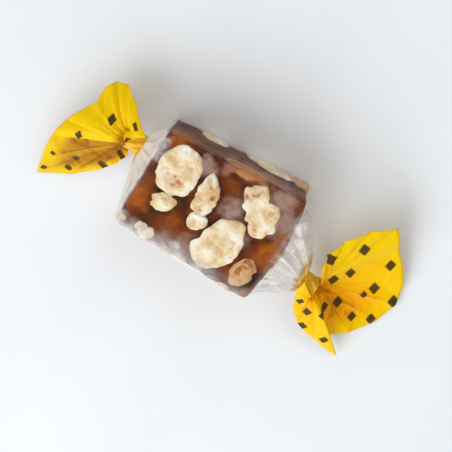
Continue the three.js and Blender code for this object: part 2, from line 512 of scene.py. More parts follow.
def read_mark(tree: bpy.types.NodeTree, mark: Mark) -> bpy.types.NodeSocket:
    """Returns the socket of a value painted on the vertices."""
    return add_node(tree, "ShaderNodeAttribute", attribute_name=mark.value).outputs["Fac"]


def bumpy(tree: bpy.types.NodeTree, height: bpy.types.NodeSocket, depth: float,
          strength: float) -> bpy.types.NodeSocket:
    """Roughens a surface with small dents and lumps.

    Args:
        tree: The material's node tree.
        height: Their height, 0 to 1.
        depth: How deep they are, in metres.
        strength: How much of that is felt.

    Returns:
        The socket of the roughened surface's normal.
    """
    return add_node(tree, "ShaderNodeBump", {
        "Height": height, "Distance": depth, "Strength": strength,
    }).outputs["Normal"]


def object_noise(tree: bpy.types.NodeTree, size: float, detail: float = 3.0,
                 roughness: float = 0.5) -> bpy.types.NodeSocket:
    """Returns noise on the object's own coordinates.

    Args:
        tree: The material's node tree.
        size: Width of its largest lumps, in metres.
        detail: Number of finer scales.
        roughness: How strong those are.

    Returns:
        The noise's value, 0 to 1.
    """
    place = add_node(tree, "ShaderNodeTexCoord").outputs["Object"]
    return add_node(tree, "ShaderNodeTexNoise", {
        "Vector": place, "Scale": 1 / size, "Detail": detail, "Roughness": roughness,
    }).outputs["Fac"]


def ramp(tree: bpy.types.NodeTree, value: bpy.types.NodeSocket,
         stops: Sequence[tuple[float, str]]) -> bpy.types.NodeSocket:
    """Turns a value into colours.

    Args:
        tree: The material's node tree.
        value: The value to read.
        stops: Places from 0 to 1, each with an sRGB hex colour.

    Returns:
        The colour socket.
    """
    node = add_node(tree, "ShaderNodeValToRGB", {"Fac": value})
    elements = node.color_ramp.elements
    while len(elements) < len(stops):
        elements.new(1.0)
    for element, (place, colour) in zip(elements, stops):
        element.position = place
        element.color = linear(colour)
    return node.outputs["Color"]


def blend_colours(tree: bpy.types.NodeTree, share: bpy.types.NodeSocket | float,
                  first: bpy.types.NodeSocket | Colour, second: bpy.types.NodeSocket | Colour,
                  how: str = "MIX") -> bpy.types.NodeSocket:
    """Mixes two colours.

    Args:
        tree: The material's node tree.
        share: How much of the second colour shows.
        first: The first colour.
        second: The second colour.
        how: Blender's name for the way of mixing.

    Returns:
        The mixed colour's socket.
    """
    node = add_node(tree, "ShaderNodeMix", {0: share, 6: first, 7: second},
                    data_type="RGBA", blend_type=how)
    return node.outputs[2]


def compute(tree: bpy.types.NodeTree, operation: str, *values: bpy.types.NodeSocket | float,
            clamped: bool = False) -> bpy.types.NodeSocket:
    """Computes with numbers.

    Args:
        tree: The material's node tree.
        operation: Blender's name for the operation.
        *values: The numbers.
        clamped: Whether the result is held between 0 and 1.

    Returns:
        The result's socket.
    """
    node = add_node(tree, "ShaderNodeMath", dict(enumerate(values)), operation=operation,
                    use_clamp=clamped)
    return node.outputs[0]


def remap(tree: bpy.types.NodeTree, value: bpy.types.NodeSocket, low: float, high: float,
          to_low: float = 0.0, to_high: float = 1.0) -> bpy.types.NodeSocket:
    """Moves a value from one range to another and holds it inside it.

    Args:
        tree: The material's node tree.
        value: The value.
        low: Lower end of its range.
        high: Upper end of its range.
        to_low: What the lower end becomes.
        to_high: What the upper end becomes.

    Returns:
        The new value's socket.
    """
    return add_node(tree, "ShaderNodeMapRange", {
        "Value": value, "From Min": low, "From Max": high, "To Min": to_low, "To Max": to_high,
    }).outputs["Result"]


@dataclass(frozen=True)
class CaramelNougat:
    """Boiled sugar nougat, poured, set and sawn: dense, brown and slightly clear.

    Light enters it a millimetre or two, so that thin places look orange and deep ones stay brown.
    The orange patches on its top are painted light, as if it shone through there.
    Its pale greyish places are a painted reflection of the room in the film over it. The film lies
    on it and gives the gloss.
    """

    deep: str = "#2e1003"
    amber: str = "#6c3006"
    red: str = "#804310"
    painted_glow: str = "#b05c04"
    painted_reflection_colour: str = "#a98a7e"
    rim_shadow: str = "#2a0f04"
    ior: float = 1.49
    specular: float = 0.08
    roughness: float = 0.45
    light_share: float = 0.2
    light_reach: float = 1.6 * MM
    cloud_size: float = 6 * MM
    streak_size: float = 1.6 * MM
    grain_size: float = 0.5 * MM
    grain_depth: float = 0.08 * MM

    def material(self) -> bpy.types.Material:
        """Builds the material.

        Returns:
            The material.
        """
        material, tree = new_material("sawn_caramel_nougat")
        cloud = object_noise(tree, self.cloud_size, detail=4)
        body = ramp(tree, cloud, [(0.38, self.deep), (0.56, self.amber), (0.72, self.red)])
        streaks = object_noise(tree, self.streak_size, detail=5, roughness=0.6)
        patchy = remap(tree, streaks, 0.3, 0.6, 0.35, 1.0)
        even = remap(tree, streaks, 0.3, 0.6, 0.7, 1.0)
        # Painted reflection: pale greyish places and faint streaks where the film would mirror the
        # room.
        painted_reflection = compute(tree, "MULTIPLY", read_mark(tree, Mark.PAINTED_REFLECTION), even)
        faint_reflection = remap(tree, streaks, 0.5, 0.8, 0.0, 0.05)
        colour = blend_colours(tree, compute(tree, "MAXIMUM", painted_reflection, faint_reflection), body,
                               linear(self.painted_reflection_colour))
        # Painted light: orange where light would shine through the caramel.
        painted_glow = compute(tree, "MULTIPLY", read_mark(tree, Mark.GLOW), patchy)
        colour = blend_colours(tree, painted_glow, colour, linear(self.painted_glow))
        # Painted shadow: dark rims round the peanuts of the top face.
        uneven = remap(tree, cloud, 0.3, 0.6, 0.2, 1.0)
        rim_shadow = compute(tree, "MULTIPLY", read_mark(tree, Mark.RIM_SHADOW), uneven)
        colour = blend_colours(tree, rim_shadow, colour, linear(self.rim_shadow))
        grain = bumpy(tree, object_noise(tree, self.grain_size, detail=4), self.grain_depth, 0.5)
        shader = add_node(tree, "ShaderNodeBsdfPrincipled", {
            "Base Color": colour, "Roughness": self.roughness, "IOR": self.ior,
            "Specular IOR Level": self.specular,
            "Subsurface Weight": self.light_share, "Subsurface Radius": (1.0, 0.45, 0.15),
            "Subsurface Scale": self.light_reach, "Normal": grain,
        })
        show(tree, shader.outputs[0])
        return material


@dataclass(frozen=True)
class RoastedPeanut:
    """Blanched and roasted peanut: cream and waxy inside, tan where it is browned or wet."""

    white: str = "#fbf5e8"
    cream: str = "#f1e0ba"
    straw: str = "#dcb981"
    tan: str = "#c6843f"
    wet: str = "#7c3d12"
    ior: float = 1.46
    roughness: float = 0.45
    light_share: float = 0.2
    light_reach: float = 1.0 * MM
    mottle_size: float = 3.6 * MM
    fibre_size: float = 0.9 * MM
    fibre_depth: float = 0.3 * MM

    def material(self) -> bpy.types.Material:
        """Builds the material.

        Returns:
            The material.
        """
        material, tree = new_material("blanched_roasted_peanut")
        mottle = object_noise(tree, self.mottle_size, detail=5, roughness=0.6)
        flesh = ramp(tree, mottle, [(0.35, self.white), (0.49, self.cream), (0.63, self.straw)])
        stain = read_mark(tree, Mark.STAIN)
        toned = ramp(tree, stain, [(0.0, self.cream), (0.5, self.tan), (1.0, self.wet)])
        colour = blend_colours(tree, remap(tree, stain, 0.0, 0.6), flesh, toned)
        crumbly = object_noise(tree, self.fibre_size, detail=6, roughness=0.65)
        fibres = bumpy(tree, crumbly, self.fibre_depth, 0.9)
        shader = add_node(tree, "ShaderNodeBsdfPrincipled", {
            "Base Color": colour, "Roughness": self.roughness, "IOR": self.ior,
            "Subsurface Weight": self.light_share, "Subsurface Radius": (1.0, 0.6, 0.3),
            "Subsurface Scale": self.light_reach, "Normal": fibres,
        })
        show(tree, shader.outputs[0])
        return material


@dataclass(frozen=True)
class PrintedFilm:
    """Polypropylene film printed yellow with dark lozenges: thin, glossy and a little clear.

    Light that passes through or bounces between the folds turns orange. That is painted shade here:
    the hollows between them are coloured a deeper orange than the open sheet.

    Attributes:
        name: What the finish is told apart by.
        shade: Painted shade colour of the hollows.
        deep: Painted shade colour of the deepest creases.
        yellow: Colour of the open sheet.
        ink: Colour of the lozenges.
        blur: Width of the ink's soft edge, as a share of a lozenge's reach.
        through: Share of the light that passes through.
    """

    name: str
    shade: str
    deep: str
    yellow: str = "#fad000"
    ink: str = "#54400c"
    ior: float = 1.49
    specular: float = 0.12
    roughness: float = 0.32
    blur: float = 0.3
    through: float = 0.1
    crinkle_size: float = 1.2 * MM
    crinkle_depth: float = 0.15 * MM

    def lozenges(self, tree: bpy.types.NodeTree) -> bpy.types.NodeSocket:
        """Returns the ink's cover, from how far out of the nearest lozenge a point is."""
        return remap(tree, read_mark(tree, Mark.INK), 1 - self.blur / 2, 1 + self.blur / 2, 1, 0)

    def colour(self, tree: bpy.types.NodeTree) -> bpy.types.NodeSocket:
        """Colours the printed sheet, with painted shade in its folds.

        Args:
            tree: The material's node tree.

        Returns:
            The colour's socket.
        """
        # Painted shade: yellow in the open, orange and brown deeper in the folds and creases.
        tone = ramp(tree, read_mark(tree, Mark.PAINTED_SHADE),
                    [(0.0, self.yellow), (0.7, self.shade), (1.0, self.deep)])
        return blend_colours(tree, self.lozenges(tree), tone, linear(self.ink))

    def material(self) -> bpy.types.Material:
        """Builds the material.

        Returns:
            The material.
        """
        material, tree = new_material(f"printed_polypropylene_film_{self.name}")
        colour = self.colour(tree)
        crinkle = bumpy(tree, object_noise(tree, self.crinkle_size), self.crinkle_depth, 0.5)
        face = add_node(tree, "ShaderNodeBsdfPrincipled", {
            "Base Color": colour, "Roughness": self.roughness, "IOR": self.ior,
            "Specular IOR Level": self.specular, "Normal": crinkle,
        })
        back = add_node(tree, "ShaderNodeBsdfTranslucent", {"Color": colour, "Normal": crinkle})
        both = add_node(tree, "ShaderNodeMixShader",
                        {0: self.through, 1: face.outputs[0], 2: back.outputs[0]})
        show(tree, both.outputs[0])
        return material


@dataclass(frozen=True)
class ClearFilm:
    """Clear polypropylene film: nothing to see but its gloss, and white where it is gathered.

    A real sheet mirrors about 8% of the light. Here it mirrors less where it is seen straight on,
    because the soft light would wash out what lies under it. Where the film is crumpled and lies in
    layers, it is painted white: partly the real whitening of the layers, partly painted sheen
    standing in for its many small mirrors. Its print begins at the necks.
    """

    haze_and_sheen: str = "#f2ece8"
    print: str = "#e8b400"
    facing_gloss: float = 0.008
    slant_gloss: float = 0.18
    slant_power: float = 4.0
    roughness: float = 0.08
    haze_roughness: float = 0.25
    crinkle_size: float = 1.6 * MM
    crinkle_depth: float = 0.2 * MM
    patch_size: float = 2.5 * MM

    def material(self) -> bpy.types.Material:
        """Builds the material.

        Returns:
            The material.
        """
        material, tree = new_material("clear_polypropylene_film")
        crinkle = bumpy(tree, object_noise(tree, self.crinkle_size), self.crinkle_depth, 0.45)
        gloss = add_node(tree, "ShaderNodeBsdfGlossy", {
            "Color": (1, 1, 1, 1), "Roughness": self.roughness, "Normal": crinkle,
        })
        clear = add_node(tree, "ShaderNodeBsdfTransparent")
        slant = add_node(tree, "ShaderNodeLayerWeight", {"Blend": 0.5, "Normal": crinkle})
        rise = compute(tree, "POWER", slant.outputs["Facing"], self.slant_power)
        mirror = compute(tree, "MULTIPLY_ADD", rise, self.slant_gloss, self.facing_gloss)
        sheet = add_node(tree, "ShaderNodeMixShader",
                         {0: mirror, 1: clear.outputs[0], 2: gloss.outputs[0]})
        printed = read_mark(tree, Mark.PRINT)
        colour = blend_colours(tree, printed, linear(self.haze_and_sheen), linear(self.print))
        # Painted sheen: a white colour, partly the film's real whitening, partly its reflections.
        white = add_node(tree, "ShaderNodeBsdfPrincipled", {
            "Base Color": colour, "Roughness": self.haze_roughness, "Normal": crinkle,
        })
        # The thin painted white is patchy and the thick painted white is even.
        patches = remap(tree, object_noise(tree, self.patch_size, detail=2), 0.3, 0.75, 0.4, 1.5)
        haze_and_sheen = read_mark(tree, Mark.HAZE_AND_SHEEN)
        dense = compute(tree, "MULTIPLY", haze_and_sheen, haze_and_sheen)
        patchy = add_node(tree, "ShaderNodeMix", {0: dense, 2: patches, 3: 1.0}).outputs[0]
        cover = compute(tree, "MULTIPLY", haze_and_sheen, patchy)
        cover = compute(tree, "MAXIMUM", cover, printed, clamped=True)
        both = add_node(tree, "ShaderNodeMixShader",
                        {0: cover, 1: sheet.outputs[0], 2: white.outputs[0]})
        show(tree, both.outputs[0])
        return material


@dataclass(frozen=True)
class PaleTable:
    """A pale, even, matt board under the sweet."""

    pale: str = "#eef2f6"
    warm: str = "#e9ecef"
    roughness: float = 0.7
    mottle_size: float = 60 * MM

    def material(self) -> bpy.types.Material:
        """Builds the material.

        Returns:
            The material.
        """
        material, tree = new_material("matt_laminate")
        mottle = object_noise(tree, self.mottle_size)
        colour = ramp(tree, mottle, [(0.3, self.pale), (0.7, self.warm)])
        shader = add_node(tree, "ShaderNodeBsdfPrincipled", {
            "Base Color": colour, "Roughness": self.roughness,
        })
        show(tree, shader.outputs[0])
        return material


# ---- The nougat and its peanuts ----------------------------------------------------------------


@dataclass(frozen=True)
class Patch:
    """A roundish place that differs from what lies round it.

    Attributes:
        x: Its middle along the block, in mm.
        y: Its middle across the block, in mm.
        radius: Its radius, in mm.
        strength: How strongly it shows in its middle.
        wobbles: How much its outline wobbles, and over what size, from coarse to fine.
        fade: Shares of the radius between which it fades out.
    """

    x: float
    y: float
    radius: float
    strength: float = 1.0
    wobbles: Sequence[tuple[float, float]] = ((0.4, 2.2 * MM), (0.25, 0.8 * MM))
    fade: tuple[float, float] = (0.35, 1.2)

    def share(self, place: Vector) -> float:
        """Finds how much of the patch is felt at a point.

        Args:
            place: The point, in block coordinates.

        Returns:
            The share, 0 to the patch's strength.
        """
        distance = math.hypot(place.x / MM - self.x, place.y / MM - self.y) / self.radius
        distance += sum(depth * noise.noise(place / size) for depth, size in self.wobbles)
        return self.strength * (1 - smooth(*self.fade, distance))


def patched(patches: Sequence[Patch], place: Vector) -> float:
    """Returns the strongest of some patches at a point in block coordinates."""
    return max((patch.share(place) for patch in patches), default=0.0)


@dataclass
class NougatBlock:
    """The block of caramel nougat, sawn on all sides.

    Attributes:
        form: The form of the wrapped block.
        shift: The shift from block coordinates to the part's frame.
        kernels: The peanuts that show in its top face.
        cuts: How often each edge of the box is divided.
        corner: Radius of its edges.
        sink: How deep its faces sink at most.
        lump_size: Width of its lumps.
        pit_size: Width of its pits.
        pit_least: How deep a dip of the noise has to be to make a pit.
        sunk_shares: Shares of the sink that are level, in lumps and in pits.
        top_from: Shares of the height from which the painted light and the painted reflections
            show.
        rim_from: Shares of the height from which the painted shadow round the peanuts shows.
        rim_depth: How dark that painted shadow is.
        rim_width: Distances from a peanut between which its painted shadow fades out, in mm.
        rim_gaps: Width of the gaps in that painted shadow.
        painted_glows: Where orange light is painted in, as if it shone through.
        painted_reflections: Where a pale reflection of the room is painted on it.
    """

    form: BlockForm
    shift: Vector
    kernels: Sequence["Kernel"]
    cuts: int = 78
    corner: float = 0.9 * MM
    sink: float = 0.45 * MM
    lump_size: float = 4.5 * MM
    pit_size: float = 1.8 * MM
    pit_least: float = 0.25
    sunk_shares: tuple[float, float, float] = (0.45, 0.6, 0.9)
    top_from: tuple[float, float] = (0.3, 0.9)
    rim_from: tuple[float, float] = (0.9, 0.97)
    rim_depth: float = 0.7
    rim_width: tuple[float, float] = (0.1, 0.9)
    rim_gaps: float = 3.5 * MM
    painted_glows: Sequence[Patch] = (
        Patch(15.4, -2.0, 3.8), Patch(-14.2, -3.6, 3.4, 0.8), Patch(-11.4, 11.6, 3.4),
        Patch(1.6, 8.6, 2.0, 0.2), Patch(-2.6, -0.8, 1.6, 0.5), Patch(14.4, -12.0, 2.0, 0.5),
        Patch(15.6, 2.2, 2.4, 0.7), Patch(4.6, 12.0, 2.4, 0.6),
        Patch(-5.6, -4.4, 2.0, 0.4), Patch(9.0, -8.6, 1.8, 0.4), Patch(-13.0, 1.0, 2.0, 0.3),
        Patch(-0.5, 10.6, 1.8, 0.5), Patch(3.5, 11.0, 1.8, 0.5), Patch(7.5, 11.0, 2.0, 0.45),
    )
    painted_reflections: Sequence[Patch] = (
        Patch(-4.4, 8.8, 2.2, 0.9), Patch(4.3, 3.0, 3.0, 0.9), Patch(11.6, 9.2, 3.2, 0.9),
        Patch(14.2, 4.8, 4.0, 0.9), Patch(-1.4, -8.6, 3.4, 0.9), Patch(8.6, -1.6, 1.6, 0.5),
        Patch(-0.5, 10.6, 1.8, 0.7), Patch(3.5, 11.0, 1.8, 0.7), Patch(7.5, 11.0, 2.0, 0.7),
        Patch(-12.4, -8.4, 1.2, 0.7), Patch(-5.6, -8.6, 2.2, 0.7), Patch(5.2, 7.6, 1.6, 0.5),
    )

    def shaped(self, point: Vector) -> Vector:
        """Rounds, sinks and leans one point of the straight box.

        Args:
            point: A point on the box, from -0.5 to 0.5 each way.

        Returns:
            The point in the part's frame.
        """
        size = Vector((self.form.length, self.form.width, self.form.height))
        flat = Vector(point[i] * size[i] for i in range(3))
        inner = Vector(clamp(flat[i], self.corner - size[i] / 2, size[i] / 2 - self.corner)
                       for i in range(3))
        out = (flat - inner).normalized() if (flat - inner).length > 0 else Vector((0, 0, 1))
        level, lumpy, pitted = self.sunk_shares
        lumps = noise.fractal(flat / self.lump_size, 1.0, 2.0, 3)
        aside = Vector((7, 3, 5))
        pits = max(0.0, noise.noise(flat / self.pit_size + aside) - self.pit_least)
        sunk = self.sink * clamp(level + lumpy * lumps + pitted * pits)
        rounded = inner + out * (self.corner - sunk)
        rounded.z += size.z / 2
        bulged = self.form.bulged(rounded)
        return self.form.lean(bulged) + Vector((0, 0, self.form.slack)) + self.shift

    def rim_at(self, place: Vector) -> float:
        """Finds how dark the painted shadow of the nougat is at a point beside the peanuts of the
        top face.

        Args:
            place: The point, in straight coordinates.

        Returns:
            The darkness, 0 to 1.
        """
        top = smooth(*self.rim_from, place.z / self.form.height)
        near = max(1 - smooth(*self.rim_width, kernel.from_outline(place / MM))
                   for kernel in self.kernels)
        broken = smooth(-0.3, 0.3, noise.noise(place / self.rim_gaps))
        return self.rim_depth * top * near * broken

    def build(self, finish: CaramelNougat) -> bpy.types.Object:
        """Makes the block.

        Args:
            finish: Its finish.

        Returns:
            The piece.
        """
        shape = bmesh.new()
        bmesh.ops.create_cube(shape, size=1.0)
        bmesh.ops.subdivide_edges(shape, edges=shape.edges, cuts=self.cuts, use_grid_fill=True)
        for vert in shape.verts:
            vert.co = self.shaped(vert.co)
        # Painted light and painted reflection on the top face.
        for mark, patches in ((Mark.GLOW, self.painted_glows), (Mark.PAINTED_REFLECTION, self.painted_reflections)):
            layer = shape.verts.layers.float.new(mark.value)
            for vert in shape.verts:
                place = vert.co - self.shift
                top = smooth(*self.top_from, place.z / self.form.height)
                vert[layer] = top * patched(patches, place)
        # Painted shadow round the peanuts of the top face.
        rim_shadow = shape.verts.layers.float.new(Mark.RIM_SHADOW.value)
        for vert in shape.verts:
            vert[rim_shadow] = self.rim_at(self.form.straight(vert.co - self.shift))
        return make_piece("nougat", shape, finish.material(), Slot.NOUGAT, "wrapped_block")


@dataclass(frozen=True)
class Kernel:
    """A half or broken peanut in the block, in mm and degrees, in straight coordinates.

    Attributes:
        middle: Its middle, from the block's middle and underside.
        reaches: How far it reaches level from its middle, at even bearings from +X.
        thick: Its thickness.
        tilt: How far it is tipped about its own length.
        rugged: How craggy it is.
        tone: How browned it is, 0 to 1.
    """

    middle: tuple[float, float, float]
    reaches: tuple[float, ...]
    thick: float
    tilt: float = 0.0
    rugged: float = 0.12
    tone: float = 0.0

    def reach(self, bearing: float) -> float:
        """Finds how far the outline is from the middle.

        Args:
            bearing: The bearing from +X, in radians.

        Returns:
            The distance, in mm.
        """
        place = (bearing / (2 * math.pi)) % 1.0 * len(self.reaches)
        first = int(place) % len(self.reaches)
        second = (first + 1) % len(self.reaches)
        return mix(self.reaches[first], self.reaches[second], smooth(0, 1, place - int(place)))

    def from_outline(self, place: Vector) -> float:
        """Returns how far a place is from the outline, in or out, in mm."""
        x, y = place.x - self.middle[0], place.y - self.middle[1]
        return abs(math.hypot(x, y) - self.reach(math.atan2(y, x)))

    @property
    def size(self) -> float:
        """Its mean reach."""
        return sum(self.reaches) / len(self.reaches)


# The peanuts that show in the top face, and where those are browned.
TOP_KERNELS = (
    Kernel((-9.6, 5.3, 15.2), (4.5, 4.9, 5.5, 5.9, 5.0, 4.5, 4.9, 5.4, 5.9, 5.7), 8.5),
    Kernel((-9.1, -2.0, 15.8), (3.0, 3.1, 2.5, 2.3, 2.5, 2.7, 2.8, 2.5, 2.3, 2.5), 5.0),
    Kernel((-2.2, 3.5, 15.4), (2.6, 2.5, 3.2, 4.8, 2.9, 2.4, 2.9, 4.6, 4.9, 3.5), 7.0, tone=0.12),
    Kernel((-1.3, -2.2, 15.8), (2.4, 2.3, 2.0, 2.1, 2.3, 2.2, 2.2, 2.3, 2.3, 2.1), 5.0),
    Kernel((4.9, -4.4, 15.2), (4.7, 5.6, 6.4, 5.8, 4.4, 4.2, 6.1, 6.2, 5.5, 4.9), 8.5),
    Kernel((8.3, 5.4, 15.3), (4.3, 4.2, 3.0, 5.7, 6.5, 3.9, 3.0, 3.6, 6.5, 6.5), 7.5,
           rugged=0.22, tone=0.12),
    Kernel((12.0, -6.9, 15.3), (2.5, 2.8, 3.3, 3.2, 2.6, 2.5, 2.8, 3.8, 3.3, 2.6), 6.5, tone=0.46),
    Kernel((-9.4, -9.6, 15.2), (3.4, 2.8, 1.8, 1.9, 2.5, 2.8, 2.0, 2.2, 2.4, 2.9), 5.0, tone=0.05),
    Kernel((-14.6, -9.6, 15.0), (1.9, 1.7, 1.9, 2.2, 2.0, 2.0, 2.0, 2.0, 2.0, 1.8), 4.5, tone=0.2),
    Kernel((-4.0, -11.0, 15.2), (2.2, 1.6, 1.2, 1.2, 1.6, 2.2, 1.8, 1.6, 1.6, 2.0), 4.0, tone=0.2),
    Kernel((10.4, -11.6, 14.8), (2.4, 1.8, 1.6, 1.6, 2.0, 2.4, 2.0, 2.0, 2.0, 2.2), 5.0, tone=0.25),
    Kernel((2.0, 10.8, 14.4), (5.3, 2.4, 1.4, 1.4, 2.2, 5.2, 2.2, 1.6, 1.6, 2.4), 6.0, tone=0.6),
)
TANS = (
    Patch(-9.4, 3.4, 2.4, 0.36), Patch(-0.6, 4.2, 1.8, 0.25), Patch(5.6, 8.0, 2.6, 0.2),
    Patch(5.2, -3.8, 2.6, 0.12), Patch(-2.2, -0.2, 1.2, 0.3), Patch(8.8, 1.4, 1.6, 0.15),
)


@dataclass
class Peanuts:
    """All the peanuts of the block: those in its top face, and seeded ones through the rest.

    Attributes:
        form: The form of the wrapped block.
        shift: The shift from block coordinates to the part's frame.
        shown: The peanuts of the top face.
        tans: Where those are browned.
        others: How many more are drawn.
        most_tries: How often one is drawn at most.
        seed: Seed of the drawing.
        half_lengths: Least and most half length of those drawn, in mm.
        half_widths: Least and most half width, in mm.
        outline_points: Number of reaches round the outline.
        unevenness: Least and most that a reach departs from an oval's.
        heights: Least and most height of the middle, in mm.
        thicknesses: Least and most thickness, in mm.
        tilts: Least and most tilt, in degrees.
        ruggedness: Least and most cragginess.
        tones: How browned they may be.
        plain_beyond: The back side is plain nougat beyond this way across and up, in mm.
        spacing: Least distance between two middles, as a share of their sizes.
        proud: How far a peanut stands out of a face.
        soft: How softly it is pressed flat there.
        relief: Depth of the dips in it.
        dip_size: Width of those dips.
        divisions: How finely a peanut of the top face is divided.
        coarse_divisions: How finely the others are.
        skin: How deep under a face a peanut still counts as shown, in mm.
        least_shown: A peanut of which a smaller share shows is left out.
    """

    form: BlockForm
    shift: Vector
    shown: Sequence[Kernel] = TOP_KERNELS
    tans: Sequence[Patch] = TANS
    others: int = 30
    most_tries: int = 4000
    seed: int = 11
    half_lengths: tuple[float, float] = (4.2, 6.4)
    half_widths: tuple[float, float] = (2.6, 4.2)
    outline_points: int = 10
    unevenness: tuple[float, float] = (0.88, 1.12)
    heights: tuple[float, float] = (0.5, 12.5)
    thicknesses: tuple[float, float] = (5, 8)
    tilts: tuple[float, float] = (-80, 80)
    ruggedness: tuple[float, float] = (0.1, 0.25)
    tones: Sequence[float] = (0.0, 0.05, 0.2, 0.45)
    plain_beyond: tuple[float, float] = (3, 2)
    spacing: float = 0.8
    proud: float = 0.24 * MM
    soft: float = 0.42 * MM
    relief: float = 0.26 * MM
    dip_size: float = 1.7 * MM
    divisions: int = 5
    coarse_divisions: int = 4
    skin: float = 0.5
    least_shown: float = 0.2

    def drawn(self, draw: random.Random) -> Kernel:
        """Draws one peanut.

        Args:
            draw: The source of the random numbers.

        Returns:
            The peanut.
        """
        half_length, half_width = self.form.length / 2 / MM, self.form.width / 2 / MM
        length, width = draw.uniform(*self.half_lengths), draw.uniform(*self.half_widths)
        turn = draw.uniform(0, 3)
        reaches = []
        for i in range(self.outline_points):
            angle = 2 * math.pi / self.outline_points * i - turn
            oval = length * width / math.hypot(width * math.cos(angle), length * math.sin(angle))
            reaches.append(oval * draw.uniform(*self.unevenness))
        middle = (
            draw.uniform(-half_length, half_length),
            draw.uniform(-half_width, half_width),
            draw.uniform(*self.heights),
        )
        return Kernel(middle, tuple(reaches), draw.uniform(*self.thicknesses),
                      draw.uniform(*self.tilts), draw.uniform(*self.ruggedness),
                      draw.choice(self.tones))

    def scattered(self) -> list[Kernel]:
        """Draws the peanuts that the top face doesn't show.

        Returns:
            The peanuts, clear of those in the top face and of each other.
        """
        draw = random.Random(self.seed)
        kept: list[Kernel] = []
        tries = 0
        while len(kept) < self.others and tries < self.most_tries:
            tries += 1
            kernel = self.drawn(draw)
            _, across, up = kernel.middle
            plain = across > self.plain_beyond[0] and up > self.plain_beyond[1]
            if not plain and all(self.clear(kernel, other) for other in (*kept, *self.shown)):
                kept.append(kernel)
        return kept

    def clear(self, first: Kernel, second: Kernel) -> bool:
        """Tells whether two peanuts are far enough apart."""
        apart = (Vector(first.middle) - Vector(second.middle)).length
        return apart > self.spacing * (first.size + second.size)

    @staticmethod
    def craggy(unit: Vector, kernel: Kernel) -> Vector:
        """Finds a point of a peanut before it is pressed into the block.

        Args:
            unit: The point's direction from the peanut's middle.
            kernel: The peanut.

        Returns:
            The point in straight coordinates, in mm.
        """
        middle = Vector(kernel.middle)
        reach = kernel.reach(math.atan2(unit.y, unit.x))
        point = Vector((unit.x * reach, unit.y * reach, unit.z * kernel.thick / 2))
        crag = noise.fractal(unit * 1.6 + middle, 1.0, 2.0, 3)
        facet = abs(noise.noise(unit * 2.4 + middle * 0.7))
        point *= 1.04 + kernel.rugged * (0.5 * crag - 0.5 * facet)
        return Matrix.Rotation(math.radians(kernel.tilt), 3, "X") @ point + middle

    def held(self, value: float, low: float, high: float) -> float:
        """Presses a coordinate softly between two faces."""
        value = high - soft_plus(high - value, self.soft)
        return low + soft_plus(value - low, self.soft)

    def add(self, shape: bmesh.types.BMesh, kernel: Kernel, divisions: int) -> None:
        """Adds one peanut to the mesh, unless it only grazes a face or lies wholly inside.

        Args:
            shape: The mesh.
            kernel: The peanut.
            divisions: How finely its sphere is divided.
        """
        stain = shape.verts.layers.float[Mark.STAIN.value]
        verts = bmesh.ops.create_icosphere(shape, subdivisions=divisions, radius=1.0)["verts"]
        limits = [(-self.form.length / 2, self.form.length / 2),
                  (-self.form.width / 2, self.form.width / 2),
                  (0.0, self.form.height)]
        shown = 0
        for vert in verts:
            place = self.craggy(vert.co.copy(), kernel) * MM
            dip = clamp(0.5 + 0.9 * noise.fractal(place / self.dip_size, 1.0, 2.0, 4))
            proud = self.proud - self.relief * dip
            pressed = Vector(self.held(value, low - proud, high + proud)
                             for value, (low, high) in zip(place, limits))
            depth = min(min(value - low, high - value)
                        for value, (low, high) in zip(pressed, limits)) / MM
            shown += depth < self.skin
            pressed = self.form.bulged(pressed) + Vector((0, 0, self.form.slack))
            place = self.form.lean(pressed)
            on_top = depth < 0.6 and pressed.z > 0.9 * self.form.height
            tan = patched(self.tans, place) if on_top else 0.0
            crack = 0.3 * smooth(0.65, 1.0, dip)
            wet = smooth(0.35, 1.6, depth)
            vert[stain] = clamp(kernel.tone + tan + crack + wet)
            vert.co = place + self.shift
        if shown < self.least_shown * len(verts):
            bmesh.ops.delete(shape, geom=verts, context="VERTS")

    def build(self, finish: RoastedPeanut) -> bpy.types.Object:
        """Makes all the peanuts as one piece.

        Args:
            finish: Their finish.

        Returns:
            The piece.
        """
        shape = bmesh.new()
        shape.verts.layers.float.new(Mark.STAIN.value)
        for kernel in self.shown:
            self.add(shape, kernel, self.divisions)
        for kernel in self.scattered():
            self.add(shape, kernel, self.coarse_divisions)
        return make_piece("peanuts", shape, finish.material(), Slot.PEANUT, "wrapped_block")


# ---- The clear middle of the wrapper -----------------------------------------------------------


